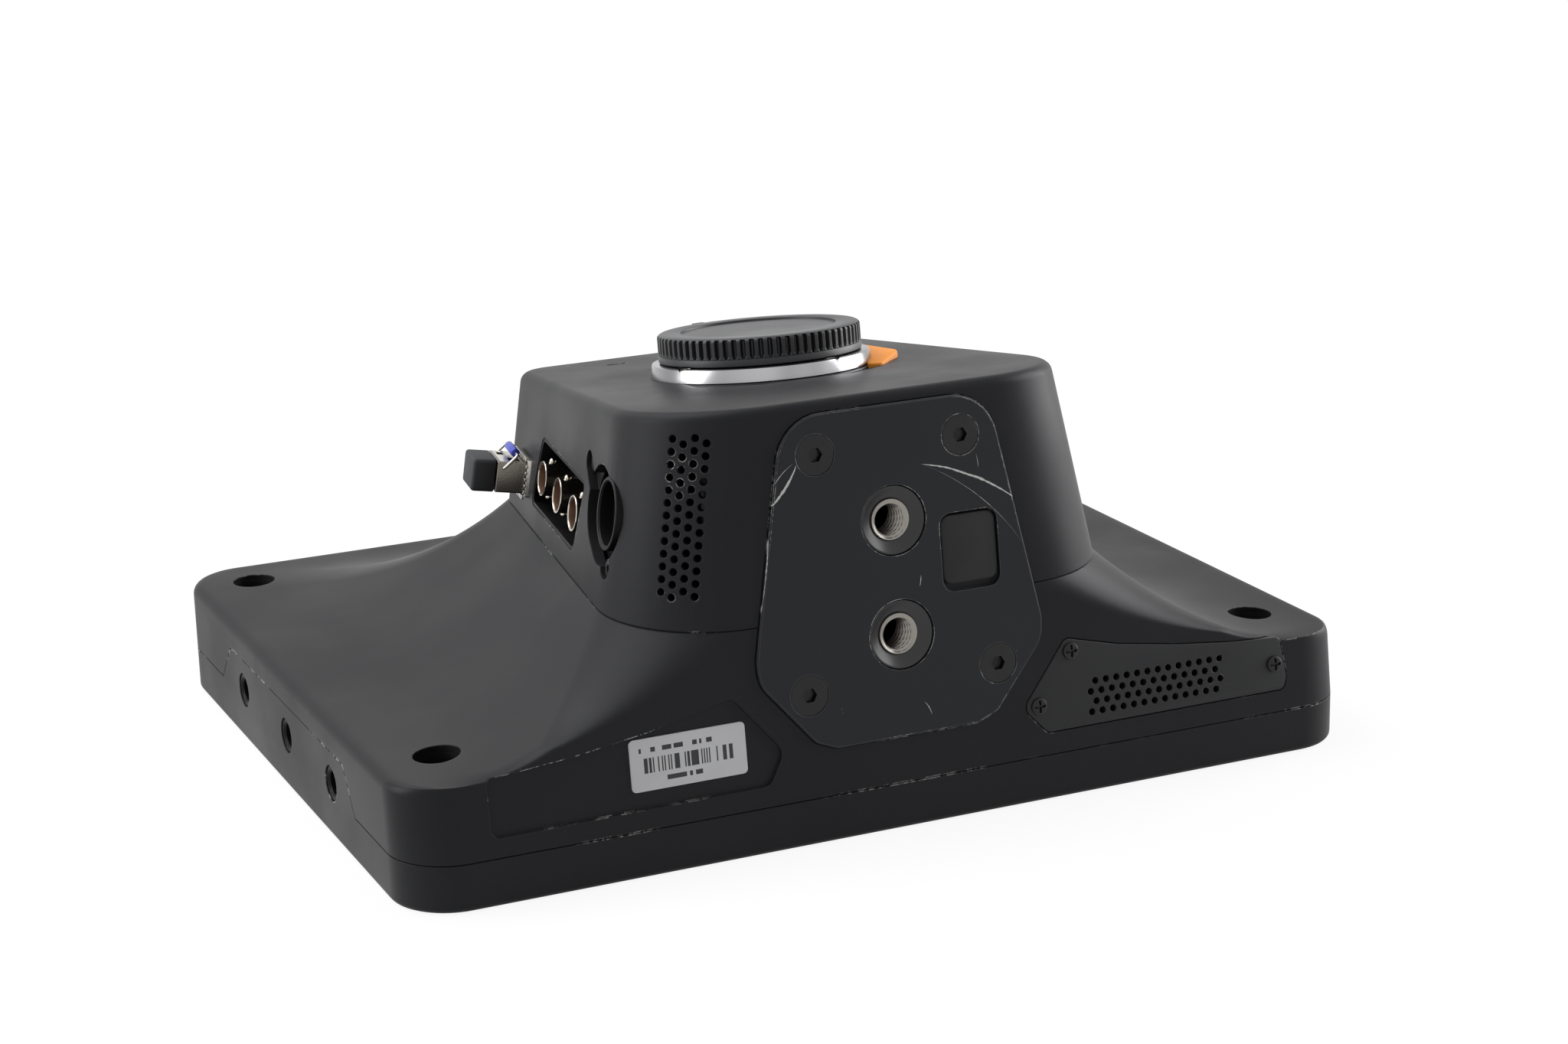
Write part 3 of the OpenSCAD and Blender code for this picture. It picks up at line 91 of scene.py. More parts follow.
# Places and sizes of the sticker, port, bushes, ring screws, buttons, jacks, barrels, pins and bail
LABEL_AT, LABEL_SIZE = (-59.8, 15.2), (31.0, 13.2)
PORT_X, PORT_W = 20.8, 56.6
BUSH_HOLE_R, BUSH_SINK_R = 6.6, 9.05
RING_SCREW_R, RING_SCREW_TURNS, RING_PIN_R, RING_PIN_TURN = 27.7, np.radians([20, 110, 200, 290]), 24.2, np.radians(-19)
MARK_TURN, FRAME_EDGE, FRAME_TOP, SCREEN_SIZE = math.radians(14), 1.6, 26.0, (218, 137)
BUTTON_X, BUTTON_YS, BUTTON_R = 120.5, (-44, -2, 40), 4.7
JACK_Z, JACK_R = 15.2, 4.8
VIDEO_X, VIDEO_Y, VIDEO_PITCH, VIDEO_DEEP = 11.9, -0.9, 18.2, 11.5
PIN_RING_R, PIN_TURNS = 4.2, np.radians([45, 135, 225, 315])
BAIL_PIVOT, BAIL_TURN, BAIL_SIDE, BAIL_ARM, BAIL_END = np.array([0, 2.6, 7.6]), math.radians(132), 7.42, 5.3, 0.9

# Outlines and places on the walls
PLATE_SHARES = ((0.5, 0.0), (0.64, 0.027), (0.99, 0.224), (1.0, 0.294), (0.712, 1.0))
PLATE_RADII = (4.0, 4.0, 9.0, 9.0, 13.0)
COVER = ((47.5, 28.9), (62, 25.2), (80, 22.3), (96, 20.4), (111.6, 19.4), (113.3, 7.8), (112.1, 4.6), (40.1, 4.6),
         (34.3, 10.9), (34.1, 13.3), (46.1, 28.3))
COVER_R = (1.2, 20, 20, 20, 1.5, 3, 2, 3, 3, 3, 1.2)
LABEL_FIELD = ((-112.5, 18.5), (-90, 20.4), (-70, 23.2), (-55, 26.6), (-47.4, 28.2), (-34.3, 12.5), (-38.8, 4.4),
               (-112.3, 3.9))
LABEL_R = (1.5, 20, 20, 20, 3, 4, 3, 2)
SCREW_PLACES = ((-20.2, 85.6), (20.2, 85.6), (-26.6, 25.6), (26.6, 25.6))
COVER_SCREWS = ((48.1, 25.3), (37.9, 12.2), (109.4, 12.1))
WELLS = ((-117, -78), (117, -78), (-117, 86), (117, 86))
THREADS = (66.4, 37.1)
EARS = ((-21.0, 8.3), (4.2, -13.1))
EAR_ROOTS = ((-15.0, 3.6), (3.4, -11.0))
XLR_AT, SFP_AT, BNC_AT = (-62.5, 82.0), (26.8, 69.7), (-12.7, 74.3)
TAB = [(-61.9, SEAM_Z), (-53.4, 24), (51.5, 24), (61.8, SEAM_Z)]
JACKS = (39.5, -1.9, -42.1)

# Stage in metres: each lamp's place, size and share of the top lamp's power, then the floor and the camera
LAMPS = (("top lamp", (-0.5, 0.45, 1.3), 1.1, 1.0), ("left lamp", (-1.5, 0.35, 0.6), 0.9, 0.85),
         ("right lamp", (1.5, -0.05, 0.5), 1.2, 1.8))
LAMP_TARGET = (0, 0, 0.05)
FLOOR_HALF, FLOOR_Z, FLOOR_GLOW = 12.0, -0.0001, 0.87
VIEW_PLACE, VIEW_TURN = (-0.345066, -0.795841, 0.307725), np.radians((73.70745, 1.33911, -24.62103))

# Profiles of turned pieces, each point a radius and a height
CAP_TOP = ((28.2, 6.75), (27.9, 7.05), (27.4, 7.3), (26.8, 7.4), (21.9, 7.4), (21.7, 7.3), (21.6, 6.75), (21.2, 6.65),
           (20.8, 6.8), (20.0, 6.85), (0, 6.85))
CAP_FOOT = ((0, 2.2), (26.3, 2.2), (26.3, 0.1), (28.2, 0.0), (28.35, 0.15), (28.35, 1.5), (28.2, 1.8))
CAP_COLLAR = ((18.3, -4.6), (20.1, -4.6), (20.1, 3), (18.3, 3))
MOAT_PROFILE = ((37.5, 0), (36.5, 0.02), (35.2, 0.13), (33.8, 0.36), (32.6, 0.6), (31.6, 0.75), (30.9, MOAT),
                (25.6, MOAT), (25.6, FACE_T))
SPACER_PROFILE = ((25.6, 0), (30.5, 0), (30.7, 0.1), (30.6, 0.5), (29.6, 0.62), (29.4, 0.8), (25.6, 0.8))
RING_PROFILE = ((25.4, FACE_W - 3.6), (25.4, SEAT_W + 0.7), (29.7, SEAT_W + 0.7), (29.95, SEAT_W + 0.85),
                (29.9, SEAT_W + 1.4), (29.45, RING_TOP - 0.45), (29.3, RING_TOP - 0.15), (28.9, RING_TOP),
                (24.2, RING_TOP), (24.0, RING_TOP - 0.25), (20.7, RING_TOP - 0.25), (20.5, RING_TOP - 0.5),
                (20.5, FACE_W + 2.0), (22.7, FACE_W + 2.0), (22.7, FACE_W - 3.6))
WELL_PROFILE = ((7.6, -10), (7.6, -1.5), (6.05, -1.0), (5.95, -1.5), (5.95, -WELL_DEEP), (2.1, -WELL_DEEP), (2.1, -10))
SINK_PROFILE = ((2.5, -4), (2.5, PLATE_PROUD - 2.7), (5.3, PLATE_PROUD - 0.1), (5.3, 3))
BUSH_RING = ((8.9, -PLATE_BED), (8.9, 0.3), (8.7, 0.5), (8.3, 0.5), (8.05, 0.3), (7.3, -0.2), (6.3, -0.9),
             (5.45, -1.3), (5.45, -PLATE_BED))
BUSH_LEAD = ((6.3, -2.3), (5.35, -2.2), (5.35, -1.15), (5.2, -0.95), (4.95, -1.05))
VIDEO_BARREL = ((6.6, -10.9), (6.6, -9.9), (5.0, -9.7), (4.75, -9.2), (4.75, -1.2), (4.8, -1.0), (4.8, -0.15),
                (4.7, 0.0), (4.35, 0.0), (4.2, -0.2), (4.1, -6.5), (3.5, -7), (3.5, -10.9))
VIDEO_LINER = ((4.15, -7.2), (4.15, -0.4), (3.95, -0.35), (3.6, -5.4), (1.4, -5.6), (1.2, -2.2), (0.5, -2.0),
               (0.5, -7.2))
POWER_SHELL = ((9.4, -17.4), (9.4, -0.5), (9.2, -0.3), (8.5, -0.3), (8.1, -0.8), (8.1, -14), (3, -14.2), (3, -17.4))
POWER_PIN = ((1.1, 0), (1.1, 7.5), (0.8, 8.3), (0, 8.6))
AUDIO_RIM = ((4.7, -6), (4.7, -0.5), (4.5, -0.35), (3.7, -0.35), (3.2, -0.9), (3.2, -14), (4.2, -14), (4.2, -6))

# Cap slots, screw ripple, threads, flare, release, sockets and slots
CAP_SHARE = 0.969
SLOT_START, SLOT_END, SLOT_ROUND, SLOT_HALF, SLOT_SOFT, SLOT_DEEP, SLOT_R = 1.9, 6.8, 1.1, 0.21, 0.07, 1.1, 28.0
RIPPLE, RIPPLE_PITCH = 0.03, 0.42
THREAD_R, THREAD_DEEP, THREAD_PITCH, THREAD_START = 4.05, 0.75, 1.5875, -1.2
FLARE_R, FLARE_SHARP, FLARE_BACK, FLARE_BEND = 4.0, 0.48, 0.62, 1.5
WEDGE = ((30.7, 2.4), (32.6, 1.6), (35.3, -11.3), (34.6, -13.4), (24.2, -24.9), (21.4, -22.1))
WEDGE_RADII, WEDGE_GAP, WEDGE_LOW, WEDGE_BED, WEDGE_HIGH = (0.5, 1.2, 2, 2, 1.5, 0.5), 0.25, 1.7, 3.3, 2.2
WEDGE_TIP, WEDGE_WAY, WEDGE_SLOPE = (35.3, -11.3, 0), (0.68, 0.733, 0), 0.085
VIDEO_FIELD, VIDEO_FIELD_R = ((-22.4, 10), (27.6, 10), (22.4, -10), (-27.6, -10)), (3.2, 2, 3.2, 2)
SCOOP_AT, SCOOP_SHIFT, SCOOP_R, EAR_R, BARREL_R = (-4.2, -1.5), (1.8, -0.9), 11.6, 2.9, 9.6
SPEAKER_AT, SPEAKER_SIZE, EDGE_SLOT_AT, EDGE_SLOT = (74, 12.4), (41.7, 11.7, 1), (-74.5, 4.8), (27, 4.8, 0.8)
MIC_X, MIC_V, MIC_SLOT = 22.2, 20.8, (6, 1.4, 0.6)

# Bricks of the fibre module: width, height and corner radius, then heights and edge rounds
CAGE, CAGE_BORE = ((15.0, 10.4, 0.4), -31, 1.0, 0.1), ((13.9, 9.3, 0.2), -30, 3)
MODULE, NOSE, LID = ((13.4, 8.8, 0.5), -28, 9.2, 0.25), ((9.6, 5.0, 0.4), 3.3, 12), ((12.6, 7.6, 0.4), -0.15, 0.02)
PLUG, STUB = ((12.4, 9.2, 1.1), 9.5, 15.9, 0.9, 0.3), ((9, 4.4, 0.4), 3.9, 10)
SLEEVE = (2.3, 2.3, 0.8), 0, 8.8, 0.3, 0.3
WINDOWS = ((3.4, 4.2, 3.6, 3.2), (-2.6, 2.6, 4.2, 2.2), (-3.0, 6.8, 2.8, 1.8))
MODULE_TOP, LID_TOP, LID_Z, FINGER_PITCH, FINGER_ROWS, FINGER_COLUMNS = 4.4, 4.42, 4.6, 1.8, (-6.3, 5.35), (7.65, -3.6)


# Frames and points

def frame_of(origin, x, y, z):
    """A 3 by 4 frame: its columns are the x, y and z directions and the origin."""
    return np.column_stack([x, y, z, origin]).astype(float)


def upright(x=0.0, y=0.0, z=0.0):
    """A frame moved to a place, its axes unturned."""
    return frame_of([x, y, z], [1, 0, 0], [0, 1, 0], [0, 0, 1])


def block_frame(x=0.0, v=0.0, w=0.0):
    """The lens block's frame, moved to (x, v, w): y = v cos + w sin, z = w cos - v sin."""
    return frame_of([x, v * COS + w * SIN, w * COS - v * SIN], [1, 0, 0], [0, COS, -SIN], [0, SIN, COS])


def near_frame(x=0.0, w=0.0, out=0.0):
    """A frame on the near wall: its x runs along the wall, its y up the wall and its z out of it."""
    base = block_frame(x, WALL_V - out, w)
    return frame_of(base[:, 3], base[:, 0], base[:, 2], -base[:, 1])


def side_x(y, z):
    """Half width of the lens block in the table frame: the side face's plane solved for x."""
    return CORE_NEAR_HALF + (FACE_N[1] * (y - NEAR_Y) + FACE_N[2] * (z - CORE_SEAM_Z)) / FACE_N[0]


def left_frame(y, z, out=0.0):
    """A frame on the block's left face: its x runs to the near side, its y up the face and its z out of it."""
    near = np.array([-math.sin(math.pi - YAW), math.cos(math.pi - YAW), 0.0])
    up = np.cross(FACE_N, near)
    return frame_of(np.array([-side_x(y, z), y, z]) + out * FACE_N, near, up, FACE_N)


def moved(where, part):
    """A part carried into a frame: p' = R p + origin."""
    points, faces = part
    return points @ where[:, :3].T + where[:, 3], faces


# Surfaces on grids

def grid(points, close_rows=False, close_cols=True, caps=(False, False)):
    """Quads between neighbouring rows and columns of a grid of points, with flat caps on its ends."""
    rows, cols = points.shape[:2]
    index = np.arange(rows * cols).reshape(rows, cols)
    low, high = (index, np.roll(index, -1, 0)) if close_rows else (index[:-1], index[1:])
    if close_cols:
        quads = np.stack([low, np.roll(low, -1, 1), np.roll(high, -1, 1), high], -1)
    else:
        quads = np.stack([low[:, :-1], low[:, 1:], high[:, 1:], high[:, :-1]], -1)
    faces = [quads.reshape(-1, 4)]
    if caps[0]:
        faces.append(index[0][::-1][None])
    if caps[1]:
        faces.append(index[-1][None])
    return points.reshape(-1, 3), faces


def angles(steps):
    """Angles of a full turn, in even steps."""
    return np.arange(steps) / steps * 2 * np.pi


def polar(r, a, z):
    """Points (r cos a, r sin a, z)."""
    return np.stack([r * np.cos(a), r * np.sin(a), z + 0 * a], -1)


def turned(profile, steps=64, hollow=False):
    """Turned piece: (r cos a, r sin a, z) for each point (r, z) of a profile and each angle a.
    The profile runs up the outside. Its ends are closed flat, or at a point where r is 0.
    The profile of a hollow piece closes on itself."""
    r, z = np.array(profile, float).T[..., None]
    points = polar(r, angles(steps), z)
    return grid(points, close_rows=hollow, caps=(not hollow and r[0, 0] > 0, not hollow and r[-1, 0] > 0))


def hoop(profile, steps=64):
    """Turned ring: as a turned piece, but its profile closes on itself."""
    return turned(profile, steps, hollow=True)


def rounded(corners, radii, steps=8):
    """Outline of a polygon with round corners: at each corner an arc c + r (cos t, sin t) that touches both sides."""
    p = np.array(corners, float)
    r = np.broadcast_to(np.array(radii, float), (len(p),))[:, None]
    to_prev = np.roll(p, 1, 0) - p
    to_next = np.roll(p, -1, 0) - p
    to_prev /= np.linalg.norm(to_prev, axis=1)[:, None]
    to_next /= np.linalg.norm(to_next, axis=1)[:, None]
    half = np.arccos(np.clip((to_prev * to_next).sum(1), -1, 1))[:, None] / 2
    middle = to_prev + to_next
    middle /= np.linalg.norm(middle, axis=1)[:, None]
    centre = p + middle * r / np.sin(half)
    start = p + to_prev * r / np.tan(half) - centre
    end = p + to_next * r / np.tan(half) - centre
    a0 = np.arctan2(start[:, 1], start[:, 0])[:, None]
    turn = np.arctan2(start[:, 0] * end[:, 1] - start[:, 1] * end[:, 0], (start * end).sum(1))[:, None]
    t = a0 + turn * np.linspace(0, 1, steps + 1)
    return np.stack([centre[:, :1] + r * np.cos(t), centre[:, 1:] + r * np.sin(t)], -1).reshape(-1, 2)


def box_outline(width, height, r, steps=6):
    """Outline of a rectangle with round corners, about the origin."""
    x, y = width / 2, height / 2
    return rounded([[x, -y], [x, y], [-x, y], [-x, -y]], r, steps)


def circle(r, steps=48):
    """Outline of a circle about the origin."""
    return polar(r, angles(steps), 0)[:, :2]


def grown(outline, by):
    """An outline moved outwards along its corner normals, by a distance."""
    before, after = outline - np.roll(outline, 1, 0), np.roll(outline, -1, 0) - outline
    before /= np.linalg.norm(before, axis=1)[:, None] + 1e-12
    after /= np.linalg.norm(after, axis=1)[:, None] + 1e-12
    normal = np.stack([before[:, 1] + after[:, 1], -before[:, 0] - after[:, 0]], -1)
    normal /= np.linalg.norm(normal, axis=1)[:, None] + 1e-12
    lean = np.clip((normal * np.stack([after[:, 1], -after[:, 0]], -1)).sum(1), 0.5, 1)
    return outline + by * normal / lean[:, None]


def slab(outline, low, high, top_bevel=0.0, low_bevel=0.0, steps=3):
    """Flat piece on an outline from z = low to high. Its edges are quarter rounds:
    at angle t the outline is moved in by b (1 - cos t) and stands b sin t up the round."""
    t = np.linspace(0, np.pi / 2, steps + 1)
    rows = [(low + low_bevel * (1 - math.sin(s)), low_bevel * (1 - math.cos(s))) for s in t[::-1]] if low_bevel \
        else [(low, 0.0)]
    rows += [(high - top_bevel * (1 - math.sin(s)), top_bevel * (1 - math.cos(s))) for s in t] if top_bevel \
        else [(high, 0.0)]
    points = np.stack([np.column_stack([grown(outline, -inset), np.full(len(outline), z)]) for z, inset in rows])
    return grid(points, caps=(True, True))


def brick(size, *heights):
    """Slab on a round-cornered rectangle: its width, height and corner radius, then the slab's heights."""
    return slab(box_outline(*size), *heights)


def tube(path, radius, sides=12):
    """Tube: each path point carries a circle in the plane across the path's own direction."""
    p = np.array(path, float)
    along = np.gradient(p, axis=0)
    along /= np.linalg.norm(along, axis=1)[:, None]
    spread = np.linalg.svd(p - p.mean(0))[2][2]
    side = np.cross(along, spread)
    side /= np.linalg.norm(side, axis=1)[:, None]
    up = np.cross(side, along)
    a = angles(sides)
    r = np.broadcast_to(np.array(radius, float), (len(p),))[:, None, None]
    points = p[:, None] + r * (np.cos(a)[None, :, None] * side[:, None] + np.sin(a)[None, :, None] * up[:, None])
    return grid(points, caps=(True, True))


def bent(corners, radius, steps=6):
    """A path through corners, each rounded by a quadratic arc that starts and ends a radius away."""
    p = np.array(corners, float)
    t = np.linspace(0, 1, steps + 1)[:, None]
    before = p[1:-1] + (p[:-2] - p[1:-1]) / np.linalg.norm(p[:-2] - p[1:-1], axis=1)[:, None] * radius
    after = p[1:-1] + (p[2:] - p[1:-1]) / np.linalg.norm(p[2:] - p[1:-1], axis=1)[:, None] * radius
    arcs = (before[:, None] * (1 - t) ** 2 + 2 * p[1:-1, None] * t * (1 - t) + after[:, None] * t ** 2)
    return np.vstack([p[:1], arcs.reshape(-1, 3), p[-1:]])


# Meshes and objects

def mesh_from(name, parts):
    """One mesh from parts in millimetres, welded, with its faces turned outwards."""
    mesh = bpy.data.meshes.new(name)
    points = np.vstack([p for p, _ in parts]) * MM
    starts = np.cumsum([0] + [len(p) for p, _ in parts[:-1]])
    faces = [f + s for (_, fs), s in zip(parts, starts) for f in fs]
    loops = np.concatenate([f.ravel() for f in faces])
    sizes = np.concatenate([np.full(len(f), f.shape[1]) for f in faces])
    mesh.vertices.add(len(points))
    mesh.vertices.foreach_set("co", points.ravel())
    mesh.loops.add(len(loops))
    mesh.loops.foreach_set("vertex_index", loops.astype(np.int32))
    mesh.polygons.add(len(sizes))
    mesh.polygons.foreach_set("loop_start", (np.cumsum(sizes) - sizes).astype(np.int32))
    mesh.update(calc_edges=True)
    work = bmesh.new()
    work.from_mesh(mesh)
    bmesh.ops.remove_doubles(work, verts=work.verts, dist=2e-6)
    bmesh.ops.dissolve_degenerate(work, dist=1e-6, edges=work.edges)
    bmesh.ops.recalc_face_normals(work, faces=work.faces)
    work.to_mesh(mesh)
    work.free()
    return mesh


def linked(name, parts):
    """An object at the origin from parts."""
    made = bpy.data.objects.new(name, mesh_from(name, parts))
    bpy.context.scene.collection.objects.link(made)
    return made


def carve(made, cutters):
    """Take groups of cutters out of an object, one group after another."""
    tools = [linked(f"{made.name}_tool_{number}", group) for number, group in enumerate(cutters)]
    for tool in tools:
        cut = made.modifiers.new("cut", "BOOLEAN")
        cut.operation, cut.solver, cut.object = "DIFFERENCE", "EXACT", tool
    result = bpy.data.meshes.new_from_object(made.evaluated_get(bpy.context.evaluated_depsgraph_get()))
    made.modifiers.clear()
    old, made.data = made.data, result
    bpy.data.meshes.remove(old)
    result.name = made.name
    for tool in tools:
        bpy.data.meshes.remove(tool.data)


def piece(name, parts, finish_name, replaces=(), cutters=(), body="camera_body"):
    """An object from parts, less its cutters, with its finish, shaded smooth up to an angle, riding on a body."""
    material = material_of(finish_name)
    made = linked(name, parts)
    if cutters:
        carve(made, cutters)
    mesh = made.data
    mesh.materials.clear()
    mesh.materials.append(material)
    mesh.polygons.foreach_set("use_smooth", np.ones(len(mesh.polygons), bool))
    mesh.set_sharp_from_angle(angle=SHARP)
    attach(made, body)
    if replaces:
        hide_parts(*replaces)


# Node groups and finishes

def feed(tree, node, inputs):
    """Set a node's inputs to values, or link them to other nodes' outputs."""
    for key, value in inputs.items():
        if isinstance(value, bpy.types.NodeSocket):
            tree.links.new(value, node.inputs[key])
        else:
            node.inputs[key].default_value = value
    return node


def add(tree, kind, inputs=None, **settings):
    """A node with its settings, and its inputs set or linked."""
    node = tree.nodes.new("ShaderNode" + kind)
    for key, value in settings.items():
        setattr(node, key, value)
    return feed(tree, node, inputs or {})


def maths(tree, operation, *values, clamp=False):
    """A Math node's output."""
    return add(tree, "Math", dict(enumerate(values)), operation=operation, use_clamp=clamp).outputs[0]


def vector_maths(tree, operation, *values):
    """A Vector Math node."""
    return add(tree, "VectorMath", dict(enumerate(values)), operation=operation)


def scaled(tree, colour, share):
    """A colour times a share."""
    return add(tree, "VectorMath", {0: colour, 3: share}, operation="SCALE").outputs[0]


def blend_colour(tree, share, first, second):
    """Colour mix of two colours by a share."""
    return add(tree, "Mix", {0: share, 6: first, 7: second}, data_type="RGBA").outputs[2]


def spot(tree):
    """The place on the object, in its own coordinates."""
    return add(tree, "TexCoord").outputs["Object"]


def noise(tree, place, scale, detail, roughness=0.5):
    """A noise texture's value."""
    return add(tree, "TexNoise", {"Vector": place, "Scale": scale, "Detail": detail, "Roughness": roughness}).outputs[0]


def distance(tree, first, second):
    """Distance between two places."""
    return vector_maths(tree, "DISTANCE", first, second).outputs["Value"]


def local_place(tree, where):
    """A place's x and y on a frame, in metres."""
    away = vector_maths(tree, "SUBTRACT", spot(tree), tuple(where[:, 3] * MM)).outputs[0]
    return [vector_maths(tree, "DOT_PRODUCT", away, tuple(where[:, axis])).outputs["Value"] for axis in (0, 1)]


def ramp(tree, value, low, high, to_low=0.0, to_high=1.0):
    """Smooth step of a value from low to high."""
    return add(tree, "MapRange", {0: value, 1: low, 2: high, 3: to_low, 4: to_high},
               interpolation_type="SMOOTHSTEP").outputs[0]


def group(name, inputs, outputs):
    """An empty node group with named sockets, and its input and output nodes."""
    tree = bpy.data.node_groups.new(name, "ShaderNodeTree")
    for label, kind, value in inputs:
        socket = tree.interface.new_socket(name=label, in_out="INPUT", socket_type=kind)
        if value is not None:
            socket.default_value = value
    for label, kind in outputs:
        tree.interface.new_socket(name=label, in_out="OUTPUT", socket_type=kind)
    return tree, tree.nodes.new("NodeGroupInput").outputs, tree.nodes.new("NodeGroupOutput").inputs


FLOAT, VECTOR = "NodeSocketFloat", "NodeSocketVector"


def grain_group():
    """Fine paint grain: a fine noise for the height, and a broad one that shifts roughness and colour."""
    tree, given, out = group("fine grain", [("Scale", FLOAT, 2600.0), ("Cloud", FLOAT, 22.0)],
                             [("Height", FLOAT), ("Cloud", FLOAT)])
    place = spot(tree)
    tree.links.new(noise(tree, place, given["Scale"], 2.0, 0.6), out["Height"])
    tree.links.new(noise(tree, place, given["Cloud"], 4.0), out["Cloud"])
    return tree


def nick_group():
    """Worn nicks: a fine noise above a level, only where a broader noise is high."""
    tree, given, out = group("nicks", [("Scale", FLOAT, 300.0), ("Patch", FLOAT, 40.0), ("Level", FLOAT, 0.66)],
                             [("Mask", FLOAT)])
    place = spot(tree)
    speck = ramp(tree, noise(tree, place, given["Scale"], 6.0, 0.75), given["Level"],
                 maths(tree, "ADD", given["Level"], 0.03))
    patch = ramp(tree, noise(tree, place, given["Patch"], 1.0), 0.5, 0.62)
    tree.links.new(maths(tree, "MULTIPLY", speck, patch), out["Mask"])
    return tree


def scratch_group():
    """A curved scratch: points whose distance from a centre is the radius within a wavering half width,
    and that lie within the reach of the scratch's middle."""
    tree, given, out = group("curved scratch", [
        ("Centre", VECTOR, (0.0, 0.0, 0.0)), ("Middle", VECTOR, (0.0, 0.0, 0.0)), ("Width", FLOAT, 0.0003),
        ("Reach", FLOAT, 0.01)], [("Mask", FLOAT)])
    place = spot(tree)
    waver = maths(tree, "SUBTRACT", noise(tree, place, 160.0, 3.0), 0.5)
    flaw = maths(tree, "MULTIPLY", noise(tree, place, 900.0, 3.0), 1.2)
    radius = distance(tree, given["Middle"], given["Centre"])
    off = maths(tree, "SUBTRACT", distance(tree, place, given["Centre"]), radius)
    off = maths(tree, "ABSOLUTE", maths(tree, "ADD", off, maths(tree, "MULTIPLY", waver, given["Width"])))
    ends = maths(tree, "DIVIDE", distance(tree, place, given["Middle"]), given["Reach"])
    ends = maths(tree, "SUBTRACT", 1.0, ends, clamp=True)
    width = maths(tree, "MULTIPLY", given["Width"], maths(tree, "POWER", ends, 0.4))
    width = maths(tree, "MULTIPLY", width, maths(tree, "ADD", flaw, 0.2))
    tree.links.new(ramp(tree, maths(tree, "SUBTRACT", width, off), 0.0, 0.00012), out["Mask"])
    return tree


GROUPS = {}


def placed(tree, name, **inputs):
    """A shared group's outputs in a tree, with its values set."""
    if name not in GROUPS:
        GROUPS[name] = {"grain": grain_group, "nicks": nick_group, "scratch": scratch_group}[name]()
    node = add(tree, "Group", node_tree=GROUPS[name])
    return feed(tree, node, inputs).outputs


def finish(name, colour, rough, metal=0.0, specular=0.5, grain=2600.0, bump=0.00002, cloud=0.1, spread=0.12,
           round_edge=0.0, wear_and_highlight=0.0, scratches=(), nick_level=0.66, tint=(1, 1, 1, 1), rim=0.0):
    """A painted, moulded or metal finish: grain in its height, clouds in its roughness and colour, nicks and scratches
    that show a pale bare ground, and edges that the Bevel node rounds by a small radius. Where rim is set, the rounded
    edges also get a painted highlight: an even pale line along them, on top of their worn patches."""
    material = bpy.data.materials.new(name)
    material.use_nodes = True
    tree = material.node_tree
    shader = tree.nodes["Principled BSDF"]
    feed(tree, shader, {"Metallic": metal, "Specular IOR Level": specular, "Specular Tint": tint})
    texture = placed(tree, "grain", Scale=grain)
    shade = ramp(tree, texture["Cloud"], 0.3, 0.7, 1 - cloud, 1 + cloud)
    base = scaled(tree, colour[:3], shade)
    roughness = ramp(tree, texture["Cloud"], 0.3, 0.7, rough - spread / 2, rough + spread / 2)
    mask = None
    if round_edge:
        soft = add(tree, "Bevel", {"Radius": round_edge}, samples=6).outputs[0]
        if wear_and_highlight:
            face = add(tree, "NewGeometry").outputs["Normal"]
            turn = vector_maths(tree, "DOT_PRODUCT", soft, face).outputs["Value"]
            turn = maths(tree, "SUBTRACT", 1.0, turn)
            patches = placed(tree, "nicks", Scale=420.0, Patch=34.0, Level=0.5)[0]
            # Rim adds a painted highlight, an even pale line along every rounded edge; the patches are wear.
            edge_wear_and_highlight = maths(tree, "MULTIPLY", ramp(tree, turn, 0.01, 0.08), maths(tree, "ADD", patches, rim))
            mask = maths(tree, "MULTIPLY", edge_wear_and_highlight, wear_and_highlight, clamp=True)
    if wear_and_highlight:
        specks = maths(tree, "MULTIPLY", placed(tree, "nicks", Level=nick_level)[0], wear_and_highlight)
        mask = specks if mask is None else maths(tree, "MAXIMUM", mask, specks)
    for middle, centre, width, reach in scratches:
        line = placed(tree, "scratch", Centre=centre, Middle=middle, Width=width, Reach=reach)[0]
        mask = line if mask is None else maths(tree, "MAXIMUM", mask, line)
    if mask is not None:
        base = blend_colour(tree, mask, base, (0.62, 0.62, 0.6, 1))
        roughness = maths(tree, "ADD", roughness, maths(tree, "MULTIPLY", mask, 0.15))
    dent = add(tree, "Bump", {"Height": texture["Height"], "Distance": bump, "Strength": 1.0})
    if round_edge:
        feed(tree, dent, {"Normal": soft})
    feed(tree, shader, {"Base Color": base, "Roughness": roughness, "Normal": dent.outputs[0]})
    return material


def give(node, material):
    """A CAD node keeps its shape and gets a finish."""
    slots = NODES[node].data.materials
    slots.clear()
    slots.append(material)


# Housing shapes

def corner_arcs(lean, arc):
    """Angles of a ring's four corner arcs, each from one side line to the next, with each point's share of x
    and whether it lies near."""
    q = np.repeat(np.arange(4), arc + 1)
    t = np.tile(np.linspace(0, 1, arc + 1), 4)
    turns = [lean, np.pi / 2 + 0 * lean, np.pi - lean, 1.5 * np.pi + 0 * lean, 2 * np.pi + lean]
    start, end = (np.select([q == i for i in range(4)], turns[first:first + 4]) for first in (0, 1))
    return start + (end - start) * t, np.where((q == 0) | (q == 3), 1, -1), q > 1


